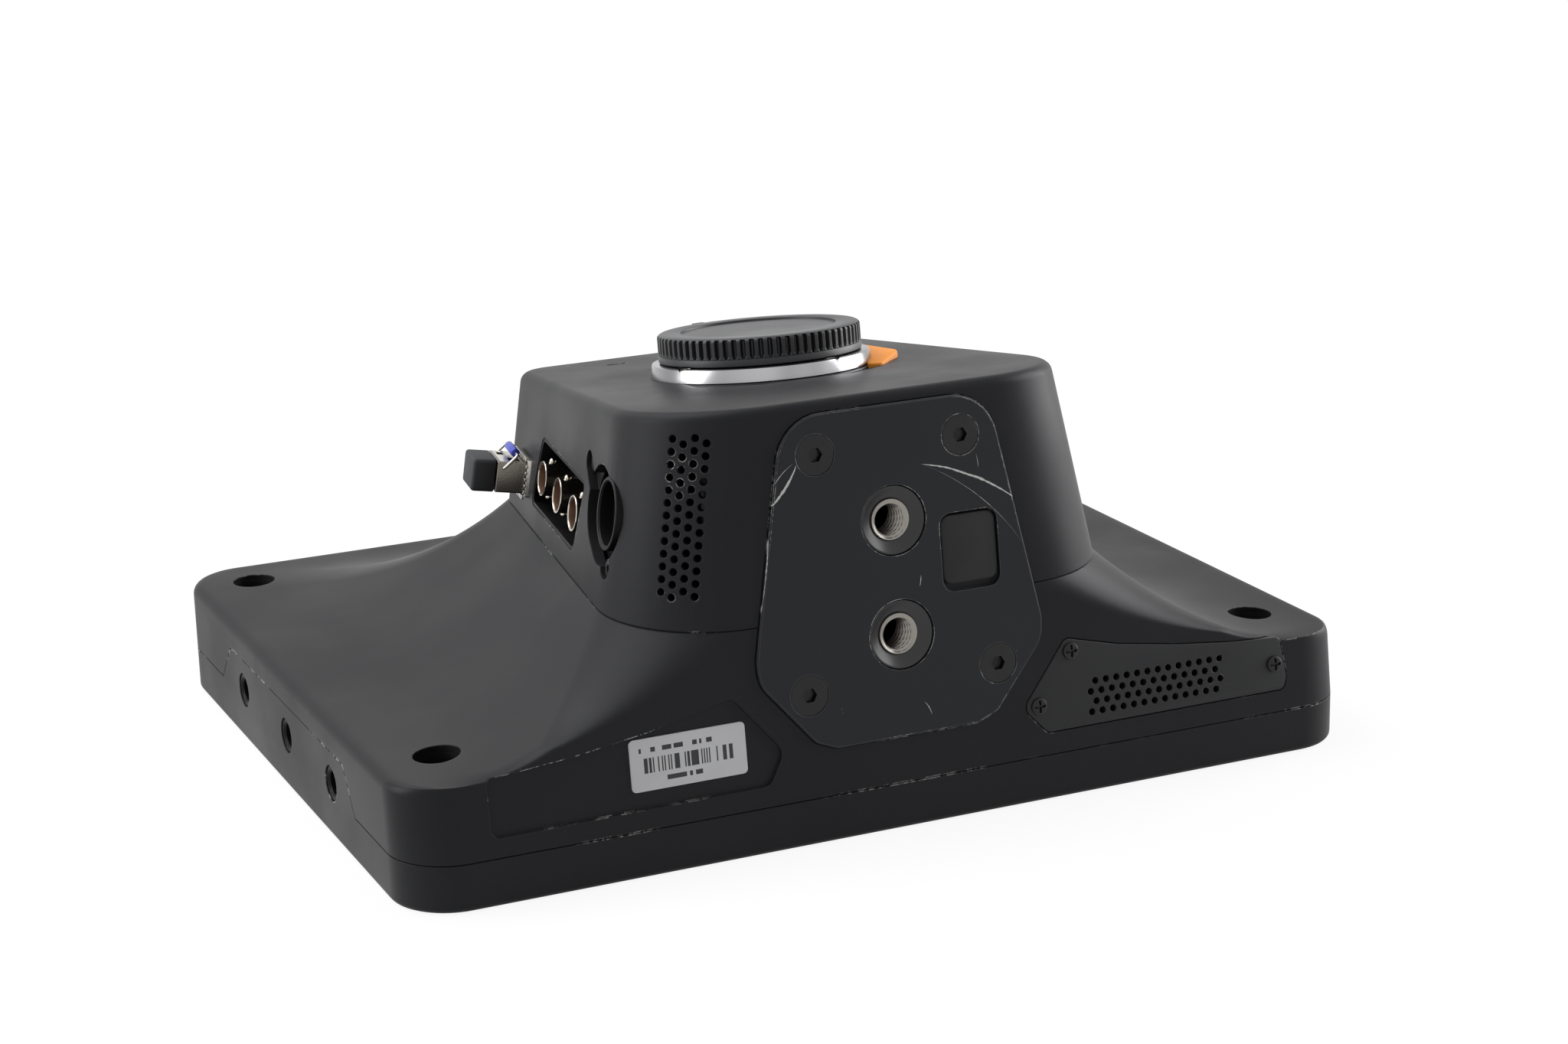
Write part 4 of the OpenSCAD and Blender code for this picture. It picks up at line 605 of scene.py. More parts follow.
def level_ring(near_half, far_half, near_y, far_y, near_r, far_r, z, arc=16):
    """Level outlines, one for each row of values: four round corners whose arcs touch the leaning side lines.
    Corner centres stand r (k + g) in from the side line, k its slope and g its length over its rise."""
    near_half, far_half, near_y, far_y, near_r, far_r, z = (
        np.broadcast_to(np.asarray(value, float), np.shape(z))[:, None] for value in
        (near_half, far_half, near_y, far_y, near_r, far_r, z))
    k = (near_half - far_half) / (far_y - near_y)
    g, lean = np.hypot(1, k), np.arctan(k)
    a, sign, near = corner_arcs(lean, arc)
    r = np.where(near, near_r, far_r)
    cx = np.where(near, near_half - r * (k + g), far_half + r * (k - g))
    cy = np.where(near, near_y + r, far_y - r)
    return np.stack([sign * cx + r * np.cos(a), cy + r * np.sin(a), z + 0 * a], -1)


def wall_y(z):
    """The near wall in the table frame: upright below the seam, then leaning with the lens block."""
    return (WALL_V + np.maximum(z, SEAM_Z) * SIN) / COS


def near_radius(t):
    """The near corners' radius along the flare: 30 at the seam, falling to 4 half way, then up to the slab's."""
    rise = FLARE_R + (CORNER_R - EDGE_R - FLARE_R) * (t - FLARE_BACK) / (1 - FLARE_BACK)
    return np.where(t < FLARE_BACK, np.maximum(FLARE_R, NEAR_R * (1 - t / FLARE_SHARP)), rise)


def housing_loft(inset, low, lift=0.0, seam_cut=0.0, steps=54):
    """Flared housing: level outlines. Up the wall, round the edge as a quarter circle, then up the flare, where
    t runs from 1 to 0, widths and depths are mixed by t, and z = slab + rise (1 - t) cubed."""
    half, back = BODY_W / 2, BODY_D / 2
    walls = [[low, seam_cut]] + ([[low + seam_cut, 0.0]] if seam_cut else [])
    a = np.linspace(0, np.pi / 2, 7)[:-1]
    walls += [[SLAB_H - EDGE_R + EDGE_R * math.sin(s) - inset, EDGE_R * (1 - math.cos(s))] for s in a]
    z, edge = np.array(walls).T
    near_y = wall_y(z) + inset + np.where(z < SEAM_Z + 0.01, edge, 0)
    edge = edge + inset
    wall = level_ring(half - edge, half - edge, near_y, back - edge, CORNER_R - edge, CORNER_R - edge, z)
    t = (np.linspace(1, 0, steps + 1)) ** FLARE_BEND
    z = SLAB_H + (CORE_SEAM_Z - SLAB_H) * (1 - t) ** 3 - inset * np.minimum(1, t * 6)

    def mix(a, b):
        return a + (b - a) * t

    flare = level_ring(mix(CORE_NEAR_HALF, half - EDGE_R) - inset,
                       mix(side_x(FAR_SEAM_Y, CORE_SEAM_Z), half - EDGE_R) - inset, wall_y(z) + inset,
                       mix(FAR_SEAM_Y, back - EDGE_R) - inset, np.maximum(2, near_radius(t) - inset),
                       np.maximum(2, mix(FAR_R, CORNER_R - EDGE_R) - inset), z)
    rows = [wall, flare]
    if lift:
        rows.append(flare[-1:] + [0, 0, lift])
    return grid(np.vstack(rows), caps=(True, True))


def block_ring(w, inset=0.0, cut=None, arc=16):
    """Outlines of the lens block at heights w of its own frame, each round its four corner posts. Where cut is
    given, each point of that row slides down its corner's line to the level of the seam."""
    w = np.asarray(w, float)[:, None]
    inset = np.broadcast_to(np.asarray(inset, float), w[:, 0].shape)[:, None]
    g = math.hypot(1, SIDE_KV)
    a, sign, near = corner_arcs(math.atan(SIDE_KV), arc)

    def half(v, level):
        return CORE_NEAR_HALF - SIDE_KV * (v - WALL_V) - SIDE_KW * (level - SEAM_W)

    def points(level):
        far = FACE_FAR_V + FAR_SLOPE * (FACE_W - level)
        v = np.where(near, WALL_V + NEAR_R, far - FAR_R)
        full = np.where(near, NEAR_R, FAR_R)
        x = half(v, level) - full * g
        r = full - inset
        return np.stack([sign * x + r * np.cos(a), v + r * np.sin(a), level + 0 * a], -1)

    ring = points(w)
    if cut is not None:
        ahead = points(w + 1)
        up, step = ring[..., 2] * COS - ring[..., 1] * SIN, (ahead - ring)
        rise = step[..., 2] * COS - step[..., 1] * SIN
        ring = ring + step * ((cut[:, None] - up) / rise)[..., None]
    return ring


def circle_like(ring, radius, w):
    """A circle about the lens axis whose points stand at the same angles as a ring's points."""
    a = np.arctan2(ring[..., 1] - LENS_V, ring[..., 0])
    return polar(radius, a, w) + [0, LENS_V, 0]


def block_shell():
    """Hollow lens block: one closed grid. Up the outside from the seam, round the rim as a quarter circle, over
    the face to the shallow moat round the mount, into the mount's hole, and back down the inside."""
    seam = block_ring([SEAM_W] * 2, [SEAM_CUT, 0.0], np.array([CORE_SEAM_Z, CORE_SEAM_Z + SEAM_CUT]))
    a = np.linspace(0, np.pi / 2, 8)
    rise = FACE_W - FACE_BEVEL + FACE_BEVEL * np.sin(a)
    rim = block_ring(rise, FACE_BEVEL * (1 - np.cos(a)))
    top = rim[-1]
    inner = FACE_W - FACE_T
    rows = [seam, rim]
    rows += [circle_like(top, r, FACE_W - drop)[None] for r, drop in MOAT_PROFILE]
    rows.append(block_ring([inner], CORE_WALL))
    rows.append(block_ring([SEAM_W], CORE_WALL, np.array([CORE_SEAM_Z])))
    points, faces = grid(np.vstack(rows), close_rows=True)
    return moved(block_frame(), (points, faces))


def plate_outline(by=0.0):
    """Outline of the mounting plate on the near wall, with round corners, grown by a distance."""
    side = [(PLATE_HALF * x, PLATE_LOW + (PLATE_HIGH - PLATE_LOW) * y) for x, y in PLATE_SHARES]
    corners = side + [(-x, y) for x, y in side[::-1]]
    return grown(rounded(corners, PLATE_RADII + PLATE_RADII[::-1]), by)


def outline_of(corners, radii, by=0.0):
    """Round-cornered outline that runs anticlockwise, grown by a distance."""
    p = np.array(corners, float)
    area = (p[:, 0] * np.roll(p[:, 1], -1) - p[:, 1] * np.roll(p[:, 0], -1)).sum()
    if area < 0:
        p, radii = p[::-1], radii[::-1]
    return grown(rounded(p, radii, 6), by)


def left_wall_frame(y=0.0, z=0.0):
    """A frame on the housing's upright left wall: its x runs to the near side, its y up and its z outwards."""
    return frame_of([-BODY_W / 2, y, z], [0, -1, 0], [0, 0, 1], [-1, 0, 0])


def housing_cutters():
    """What is taken out of the housing: its inside, the wells, the tab, the plate's bed, the cover's bed with
    the speaker's window, the label's field and the slot at the far edge."""
    wells = [moved(upright(x, y), slab(circle(6.0), SLAB_H - 7.4, SLAB_H + 2)) for x, y in WELLS]
    tab = outline_of([(-61.9, SEAM_Z - 9)] + TAB + [(61.8, SEAM_Z - 9)], (0.3, 0.5, 3, 3, 0.5, 0.3), 0.25) * [-1, 1]
    beds = [moved(left_wall_frame(), slab(tab[::-1], -SHELL_WALL - 1, 1)),
            moved(near_frame(), slab(outline_of(COVER, COVER_R), -COVER_BED, 1)),
            moved(near_frame(), slab(outline_of(LABEL_FIELD, LABEL_R), -LABEL_BED, 1)),
            moved(upright(EDGE_SLOT_AT[0], BODY_D / 2, SLAB_H - EDGE_SLOT_AT[1]), brick(EDGE_SLOT, 0, 1.8))]
    window = [moved(near_frame(*SPEAKER_AT), brick(SPEAKER_SIZE, -WINDOW_DEEP, -1)),
              moved(near_frame(), slab(plate_outline(PLATE_GAP), -PLATE_BED, 2))]
    bush = [moved(near_frame(0, THREADS[1]), slab(circle(BUSH_HOLE_R), -WINDOW_DEEP, -1.5))]
    return [[housing_loft(SHELL_WALL, SEAM_Z - 1, 1.0)], wells + beds, window, bush]


def vent_cutters():
    """Holes of the round near-left corner: columns by angle and staggered rows along the post's leaning line."""
    holes = []
    for column in range(VENT_COLUMNS):
        turn = math.radians(VENT_TURN - VENT_STEP * column)
        for row in range(VENT_ROWS):
            w = VENT_START + VENT_PITCH * row + VENT_SHIFT * (column % 2)
            x = CORE_NEAR_HALF - SIDE_KV * NEAR_R - SIDE_KW * (w - SEAM_W) - NEAR_R * math.hypot(1, SIDE_KV)
            base = block_frame(-x, WALL_V + NEAR_R, w)
            out = math.cos(turn) * base[:, 0] + math.sin(turn) * base[:, 1]
            across = -math.sin(turn) * base[:, 0] + math.cos(turn) * base[:, 1]
            where = frame_of(base[:, 3] + out * NEAR_R, across, base[:, 2], out)
            holes.append(moved(where, slab(circle(VENT_R, 16), -CORE_WALL - 1, 1)))
    return holes


def socket_field(by=0.0):
    """Outline of the video sockets' recess: a leaning parallelogram with round corners."""
    return outline_of(VIDEO_FIELD, VIDEO_FIELD_R, by)


def capsule(start, end, r, steps=12):
    """Round-ended outline: half circles of one radius round both ends of a line, anticlockwise."""
    start, end = np.array(start, float), np.array(end, float)
    turn = math.atan2(*(end - start)[::-1])
    a = turn + np.linspace(-np.pi / 2, np.pi / 2, steps + 1)
    half = r * np.stack([np.cos(a), np.sin(a)], -1)
    return np.vstack([end + half, start - half])


def scoop_outline():
    """Outline of the round power socket's bed: two circles' hull beside the barrel."""
    a = angles(64)
    along = np.array(SCOOP_SHIFT)
    shift = np.where((np.cos(a) * along[0] + np.sin(a) * along[1] > 0)[:, None], along, -along)
    return SCOOP_AT + shift + circle(SCOOP_R, 64)


def wedge_outline(by=0.0):
    """Outline of the lens release: a pointed wedge beside the mount."""
    return outline_of(WEDGE, WEDGE_RADII, by)


def block_cutters():
    """What is taken out of the lens block: the plate's bed, the vents, the sockets, the release's bed and slots."""
    sockets = [moved(left_frame(*BNC_AT), slab(socket_field(0.1), -SOCKET_DEEP, 2)),
               moved(left_frame(*XLR_AT), slab(scoop_outline(), -SOCKET_DEEP, 2)),
               moved(left_frame(*SFP_AT), brick((15.1, 10.5, 0.4), -SOCKET_DEEP, 2))]
    ears = [[moved(left_frame(*XLR_AT), slab(capsule(tip, root, EAR_R), -2.6, 3))]
            for tip, root in zip(EARS, EAR_ROOTS)]
    barrel = [moved(left_frame(*XLR_AT), slab(circle(BARREL_R), -SOCKET_DEEP, 2))]
    tops = [moved(block_frame(0, LENS_V, 0), slab(wedge_outline(WEDGE_GAP), FACE_W - WEDGE_BED, FACE_W + 3))]
    tops += [moved(block_frame(x, MIC_V, 0), brick(MIC_SLOT, FACE_W - FACE_T - 1, FACE_W + 1)) for x in (-MIC_X, MIC_X)]
    bed = [moved(near_frame(), slab(plate_outline(PLATE_GAP), -PLATE_BED, 4))]
    holes = [moved(near_frame(0, THREADS[0]), slab(circle(BUSH_HOLE_R), -WINDOW_DEEP, -2)),
             moved(near_frame(PORT_X, PORT_W), brick((12, 14, 2), -WINDOW_DEEP, -2))]
    return [vent_cutters() + sockets + tops + bed, barrel, holes] + ears


# Screws and other small shapes

def hex_screw(head_r, head_h, socket_r, flat=True):
    """Screw head with a hexagon socket: a turned profile whose inner rows pass from a circle to a hexagon.
    On a flat head the top shows fine turning rings, as a ripple of its height."""
    a = angles(96)
    hexagon = math.cos(math.pi / 6) / np.cos((a % (np.pi / 3)) - np.pi / 6)
    r = np.linspace(head_r - 0.25, socket_r * 1.25, 33)
    top = RIPPLE * np.cos(r * 2 * np.pi / RIPPLE_PITCH)
    rows = [(head_r * 0.46, -head_h, 0), (head_r - 0.1, -0.25, 0), (head_r, -0.12, 0)] if flat else \
        [(head_r, 0, 0), (head_r, head_h - 0.3, 0), (head_r - 0.1, head_h - 0.08, 0)]
    lift = 0 if flat else head_h
    rows += [(x, lift + y, 0) for x, y in zip(r, top)]
    rows += [(socket_r * 1.12, lift, 1), (socket_r * 1.08, lift - 0.15, 1), (socket_r * 1.08, lift - head_h * 0.7, 1),
             (0.02, lift - head_h * 0.8, 1)]
    profile = np.array(rows)
    radius = profile[:, :1] * np.where(profile[:, 2:] > 0, hexagon, 1)
    return grid(polar(radius, a, profile[:, 1:2]), caps=(True, True))


def cross_screw(head_r, head_h):
    """Small pan head with a cross recess: a dome whose height drops where either arm's width is met."""
    a = angles(48)
    r = np.concatenate([[head_r, head_r], np.linspace(head_r * 0.98, 0.001, 14)])
    x, y = r[:, None] * np.cos(a), r[:, None] * np.sin(a)
    z = np.concatenate([[0, head_h * 0.5], head_h * (0.5 + 0.5 * np.sqrt(1 - (r[2:] / head_r) ** 2))])[:, None] + 0 * a
    arm = np.minimum(np.abs(x), np.abs(y)) < 0.3
    reach = np.maximum(np.abs(x), np.abs(y)) < head_r * 0.68
    z = np.where(arm & reach, z - 0.7 * head_h, z)
    return grid(np.stack([x, y, z], -1), caps=(True, True))


def at_places(where, places, part, out=0.0):
    """Copies of a part at places (x, y) of a frame."""
    return [moved(where, moved(upright(x, y, out), part)) for x, y in places]


def cap_profile_part(ribs=72):
    """Body cap: a turned profile with grip slots. Between two heights each slot lowers the radius where the rib
    phase is within its half width, which closes to a round end near the band."""
    steps = ribs * 10
    z_side = np.concatenate([np.linspace(1.9, 3.0, 8), np.linspace(3.4, 6.3, 8), [6.5]])
    profile = [*CAP_FOOT, *((28.3, z) for z in z_side), *CAP_TOP]

    def slots(a, r, z):
        phase = np.abs((a * ribs / (2 * np.pi)) % 1 - 0.5)
        end = np.clip((z - SLOT_START) / SLOT_ROUND, 0, 1)
        half = SLOT_HALF * np.sqrt(np.clip(1 - (1 - end) ** 2, 0, 1)) + 0.001
        beside = (z > SLOT_START) * (z < SLOT_END) * (r > SLOT_R * CAP_SHARE)
        return -SLOT_DEEP * np.clip((half - phase) / SLOT_SOFT + 0.5, 0, 1) * beside

    r, z = np.array(profile, float).T
    r *= CAP_SHARE
    a = angles(steps)
    return grid(polar(r[:, None] + slots(a[None], r[:, None], z[:, None]), a, z[:, None]))


def threaded_bush(depth=11.5):
    """Threaded steel bush: a turned bore whose radius follows a helix, r = minor + d tri(z / pitch + a / turn)."""
    a = angles(72)
    z = np.linspace(THREAD_START, -depth, 100)
    wave = np.abs(((z[:, None] / THREAD_PITCH + a / (2 * np.pi)) % 1) * 2 - 1)
    bore = THREAD_R + THREAD_DEEP * np.clip(wave * 1.3 - 0.15, 0, 1)
    r, lead = np.array([(6.3, -depth), *BUSH_LEAD]).T[..., None]
    return grid(polar(np.vstack([r + 0 * a, bore]), a, np.vstack([lead + 0 * a, z[:, None] + 0 * a])), close_rows=True)


def bolt_ball(place, r):
    """Small ball: a turned half circle."""
    t = np.linspace(-np.pi / 2, np.pi / 2, 13)
    part = turned([(max(r * math.cos(s), 0), r * math.sin(s)) for s in t], 20)
    return part[0] + place, part[1]


# Settings that a user would change

class CameraSizes(bpy.types.PropertyGroup):
    """Sizes of the pieces that only show in the looks."""
    cap_ribs: IntProperty(name="Cap ribs", description="Grip ribs round the body cap", default=72, min=24, max=120)
    wear: FloatProperty(name="Wear", description="How much bare ground shows at edges and nicks", default=0.8,
                        min=0.0, max=1.0, subtype="FACTOR")
    edge: FloatProperty(name="Edge radius", description="Radius that the finish gives to sharp painted edges",
                        default=0.0005, min=0.0, max=0.002, unit="LENGTH")


class CameraColours(bpy.types.PropertyGroup):
    """Colours of the finishes."""
    paint: FloatVectorProperty(name="Paint", description="Colour of the painted housing", subtype="COLOR", size=4,
                               default=(0.0155, 0.0157, 0.017, 1), min=0, max=1)
    plate: FloatVectorProperty(name="Plate", description="Colour of the mounting plate", subtype="COLOR", size=4,
                               default=(0.0155, 0.0165, 0.019, 1), min=0, max=1)
    release: FloatVectorProperty(name="Release", description="Colour of the lens release", subtype="COLOR", size=4,
                                 default=(0.95, 0.32, 0.02, 1), min=0, max=1)
    sleeve: FloatVectorProperty(name="Bail sleeve", description="Colour of the bail's sleeve", subtype="COLOR", size=4,
                                default=(0.03, 0.05, 0.48, 1), min=0, max=1)


class CameraStage(bpy.types.PropertyGroup):
    """Light and camera."""
    top_light: FloatProperty(name="Top light", description="Power of the large lamp overhead", default=14.0, min=0,
                             unit="POWER")
    world_light: FloatProperty(name="Room light", description="Strength of the room's light on the object",
                               default=0.2, min=0, max=2)
    lens: FloatProperty(name="Lens", description="Focal length on a 36 mm wide sensor", default=74.42, min=20, max=200)


# Scratches on the plate: start, end, bulge and width. Rows of bars: pitch, level, seed and the field's x and y
STROKES = (((9.2, 79.5), (34.5, 67.5), 1.6, 0.45), ((9.5, 79.2), (36.3, 55), 2.6, 0.12),
           ((-25.6, 83.6), (-33.2, 74.2), 0.7, 0.5), ((-26.3, 84.2), (-33, 77.5), -0.8, 0.16),
           ((24.3, 80.2), (24.7, 76.6), 0.1, 0.14), ((6.4, 51.5), (5.9, 48.7), 0.1, 0.2),
           ((-33.4, 74), (-38.4, 46), 0.5, 0.16), ((4.9, 19), (6.8, 15.3), 0.3, 0.2),
           ((-39.6, 27), (-36, 18.8), 0.3, 0.22))
BARS = ((0.34, 0.5, 3.0, (-12.2, 12.2), (-2.2, 1.6)), (0.62, 0.36, 40.0, (-13.2, 6.5), (3.0, 4.2)),
        (0.8, 0.3, 90.0, (-6.0, 3.5), (-4.6, -3.4)))
FINE, SLIGHT = 0.00001, 0.0003


def stroke(start, end, bulge, width):
    """A curved scratch through two points of the plate: its middle, its centre, its width and its half length."""
    p, q = np.array(start, float), np.array(end, float)
    along = q - p
    length = np.linalg.norm(along)
    normal = np.array([-along[1], along[0]]) / length
    radius = (length ** 2 / 4 + bulge ** 2) / (2 * abs(bulge))
    crest = (p + q) / 2 + normal * bulge
    centre = crest - normal * math.copysign(radius, bulge)
    middle, centre = (tuple(near_frame(*place, PLATE_PROUD)[:, 3] * MM) for place in (crest, centre))
    return middle, centre, width * MM, length / 2 * MM * 1.04


def recipes():
    """What each finish is made with: its label, colour and roughness, and what departs from the usual finish."""
    sizes, colours = bpy.context.scene.camera_sizes, bpy.context.scene.camera_colours
    return {
        "paint": ("charcoal paint", colours.paint, 0.42, dict(
            specular=0.13, round_edge=sizes.edge, wear_and_highlight=sizes.wear, bump=0.000018, nick_level=0.735,
            tint=(0.93, 0.94, 1, 1))),
        # Rim 0.14 gives the plate a painted highlight: an even pale line along all its rounded edges, over the worn
        # patches.
        "plate": ("black anodised plate", colours.plate, 0.5, dict(
            specular=0.2, round_edge=0.00035, wear_and_highlight=1.0, grain=4200.0, scratches=[stroke(*row) for row in STROKES],
            nick_level=0.7, bump=FINE, rim=0.14)),
        "black screw": ("black oxide", (0.007, 0.007, 0.0075), 0.3, dict(specular=0.3, bump=FINE)),
        # The steel's colour is darkened: painted shade that stands in for the dark inside of the threaded bores, on
        # every steel piece.
        "steel": ("bright steel", (0.24, 0.225, 0.205), 0.26, dict(metal=1.0, grain=1800.0, bump=FINE)),
        "dark anodised": ("dark anodised ring", (0.009, 0.009, 0.0105), 0.32, dict(bump=FINE)),
        # Its base colour is replaced by painted reflection bands that follow the angle round the lens axis.
        "mount metal": ("satin mount metal", (0.7, 0.7, 0.71), 0.22, dict(
            metal=1.0, grain=3000.0, bump=0.000004, spread=0.05)),
        "spacer": ("black spacer", (0.008, 0.008, 0.009), 0.4, dict(bump=FINE)),
        "cap": ("moulded cap plastic", (0.022, 0.023, 0.026), 0.4, dict(
            specular=0.4, round_edge=0.0002, bump=0.000015)),
        "orange": ("orange plastic", colours.release, 0.5, dict(
            specular=0.4, round_edge=SLIGHT, cloud=0.04, bump=FINE)),
        "rubber": ("black rubber", (0.013, 0.013, 0.0135), 0.62, dict(specular=0.3, round_edge=SLIGHT, grain=5200.0)),
        "grey rubber": ("dark grey rubber", (0.032, 0.033, 0.036), 0.6, dict(specular=0.3, round_edge=SLIGHT)),
        "cover": ("black cover plastic", (0.014, 0.0145, 0.016), 0.5, dict(
            specular=0.28, round_edge=SLIGHT, wear_and_highlight=0.7)),
        "black plastic": ("black moulding", (0.004, 0.004, 0.0045), 0.45, dict(specular=0.12, bump=FINE)),
        "nickel": ("warm nickel", (0.56, 0.52, 0.46), 0.2, dict(metal=1.0, cloud=0.12, bump=0.000006)),
        "socket bore": ("brown socket bore", (0.2, 0.115, 0.075), 0.4, dict(metal=0.5, bump=FINE)),
        "cage": ("bright cage metal", (0.62, 0.6, 0.56), 0.26, dict(metal=1.0, bump=FINE)),
        "module": ("dark zinc", (0.2, 0.185, 0.16), 0.24, dict(metal=1.0, cloud=0.35, round_edge=0.0002)),
        "sleeve": ("blue sleeve", colours.sleeve, 0.35, dict(round_edge=0.0002, cloud=0.05)),
        "display": ("dark display", (0.012, 0.012, 0.016), 0.12, dict(bump=0.000002)),
        "board": ("green solder mask", (0.01, 0.09, 0.03), 0.35, dict(cloud=0.3, grain=600.0)),
        "frame metal": ("cast frame", (0.5, 0.5, 0.52), 0.4, dict(metal=1.0, grain=900.0)),
        "pale plastic": ("pale plastic", (0.6, 0.6, 0.61), 0.5, {}),
        "battery": ("battery wrap", (0.03, 0.03, 0.05), 0.35, dict(cloud=0.2)),
        "glass": ("tinted glass", (0.008, 0.008, 0.01), 0.08, dict(bump=0.000001, cloud=0.05, spread=0.04)),
        "label": ("pale printed film", (0.6, 0.6, 0.615), 0.34, dict(specular=0.4, cloud=0.03, bump=0.000004)),
    }


def painted_reflection_bands(tree, shader):
    """Painted reflection bands on the turned mount: its base colour grows lighter and darker with the angle round the
    lens axis, in place of the turned metal's reflections.
    """
    x, y = local_place(tree, block_frame(0, LENS_V, RING_TOP))
    painted_sheen = add(tree, "TexNoise", {"W": maths(tree, "ARCTAN2", y, x), "Scale": 0.9, "Detail": 2.0, "Roughness": 0.4},
                noise_dimensions="1D").outputs[0]
    feed(tree, shader, {"Base Color": scaled(tree, (1.0, 1.0, 1.03), ramp(tree, painted_sheen, 0.36, 0.62, 0.2, 0.52))})


def printed_bars(tree, shader):
    """Rows of plain bars and dashes on the sticker: the cells of a row whose noise lies above a level."""
    film = shader.inputs["Base Color"].links[0].from_socket
    x, y = (maths(tree, "DIVIDE", value, MM) for value in local_place(tree, near_frame(*LABEL_AT)))

    def band(value, low, high):
        return maths(tree, "MULTIPLY", maths(tree, "GREATER_THAN", value, low), maths(tree, "LESS_THAN", value, high))

    ink = 0.0
    for pitch, level, seed, across, up in BARS:
        cell = maths(tree, "ADD", maths(tree, "FLOOR", maths(tree, "DIVIDE", x, pitch)), seed)
        chance = add(tree, "TexWhiteNoise", {"W": cell}, noise_dimensions="1D").outputs["Value"]
        field = maths(tree, "MULTIPLY", band(x, *across), band(y, *up))
        row = maths(tree, "MULTIPLY", maths(tree, "GREATER_THAN", chance, level), field)
        ink = maths(tree, "MAXIMUM", row, ink)
    feed(tree, shader, {"Base Color": blend_colour(tree, ink, film, (0.02, 0.02, 0.022, 1))})


MATERIALS = {}
# Extra colour work: painted reflection bands on the mount metal, printed bars on the label.
DRESSED = {"mount metal": painted_reflection_bands, "label": printed_bars}


def material_of(name):
    """A finish by its name, made once."""
    if name not in MATERIALS:
        label, colour, rough, more = recipes()[name]
        made = MATERIALS[name] = finish(label, colour, rough, **more)
        if name in DRESSED:
            DRESSED[name](made.node_tree, made.node_tree.nodes["Principled BSDF"])
    return MATERIALS[name]


# Operators: one for each group of pieces

class CAMERA_OT_housing(bpy.types.Operator):
    """Make the flared housing and the screen's frame"""
    bl_idname = "camera_looks.housing"
    bl_label = "Housing"

    def execute(self, context):
        piece("housing_shell", [housing_loft(0.0, SEAM_Z, seam_cut=SEAM_CUT)], "paint", ["rear_shell"],
              housing_cutters())
        piece("corner_wells", [moved(upright(x, y, SLAB_H), hoop(WELL_PROFILE)) for x, y in WELLS], "paint")
        half, back = BODY_W / 2, BODY_D / 2
        a = np.linspace(0, np.pi / 2, 6)
        rows = [(FRAME_EDGE * (1 - math.sin(s)), FRAME_EDGE * (1 - math.cos(s))) for s in a[::-1]] + [(FRAME_TOP, 0.0)]
        z, edge = np.array(rows).T
        ring = level_ring(half - edge, half - edge, -back + edge, back - edge, CORNER_R - edge, CORNER_R - edge, z)
        above = [(-130, SEAM_Z), *TAB, (130, SEAM_Z), (130, 40), (-130, 40)]
        above = outline_of(above, (1, 0.5, 3, 3, 0.5, 1, 1, 1))[::-1] * [-1, 1]
        rest = box_outline(BODY_W + 6, BODY_D + 6, 1) + [5, 0]
        openings = [brick((*SCREEN_SIZE, 1), -1, 5)]
        openings += [slab(circle(BUTTON_R) + [side * BUTTON_X, y], -1, 5) for side in (-1, 1) for y in BUTTON_YS]
        jacks = [moved(left_wall_frame(y, JACK_Z), slab(circle(JACK_R), -6, 1)) for y in JACKS]
        piece("screen_frame", [grid(ring, caps=(True, True))], "paint", ["screen_bezel"],
              [[brick((BODY_W - 6, BODY_D - 6, 13), 3.5, 40)], openings,
               [moved(left_wall_frame(), slab(above, -8, 1))], [slab(rest, SEAM_Z, 40)], jacks])
        return {"FINISHED"}


class CAMERA_OT_block(bpy.types.Operator):
    """Make the hollow lens block with its vents and openings"""
    bl_idname = "camera_looks.block"
    bl_label = "Lens block"

    def execute(self, context):
        piece("lens_block", [block_shell()], "paint", ["core_housing"], block_cutters())
        return {"FINISHED"}


class CAMERA_OT_mount(bpy.types.Operator):
    """Make the lens mount, its spacer, its screws, the release and the cap"""
    bl_idname = "camera_looks.mount"
    bl_label = "Lens mount"

    def execute(self, context):
        lens, seat, top = (block_frame(0, LENS_V, w) for w in (0, SEAT_W, RING_TOP))
        piece("mount_seat", [moved(seat, hoop(SPACER_PROFILE, 128))], "spacer", ["mount_spacer"])
        places = polar(RING_SCREW_R, RING_SCREW_TURNS, 0)[:, :2]
        heads = [moved(top, slab(circle(1.8, 24) + place, -1, 1)) for place in places]
        pin = polar(RING_PIN_R, RING_PIN_TURN, 0)[:2]
        heads.append(moved(lens, slab(circle(1.2, 24) + pin, FACE_W - 5, RING_TOP + 1)))
        piece("lens_ring", [moved(lens, hoop(RING_PROFILE, 160))], "mount metal", ["mount_ring"],
              [heads])
        piece("ring_screws", at_places(top, places, cross_screw(1.65, 0.8), -0.92), "steel", ["mount_screws"])
        points, faces = slab(wedge_outline(), FACE_W - WEDGE_LOW, FACE_W + WEDGE_HIGH, 0.5)
        high = points[:, 2] > FACE_W
        points[high, 2] += np.clip((points[high] - WEDGE_TIP) @ WEDGE_WAY * WEDGE_SLOPE, -1.5, 0.6) - 0.25
        piece("release_lever", [moved(lens, (points, faces))], "orange", ["lens_release"],
              body="lens_release")
        cap = block_frame(0, LENS_V, RING_TOP + CAP_GAP)
        piece("mount_cap", [moved(cap, cap_profile_part(context.scene.camera_sizes.cap_ribs)),
                            moved(top, hoop(CAP_COLLAR))], "cap", ["body_cap"], body="body_cap")
        cos, sin = math.cos(MARK_TURN), math.sin(MARK_TURN)
        spin = frame_of([-27.0 * sin, 27.0 * cos, 0], [cos, sin, 0], [-sin, cos, 0], [0, 0, 1])
        mark = brick((3.4, 1.6, 0.3), 6.4, 7.42, 0.1)
        piece("cap_mark", [moved(cap, moved(spin, mark))], "spacer", body="body_cap")
        return {"FINISHED"}


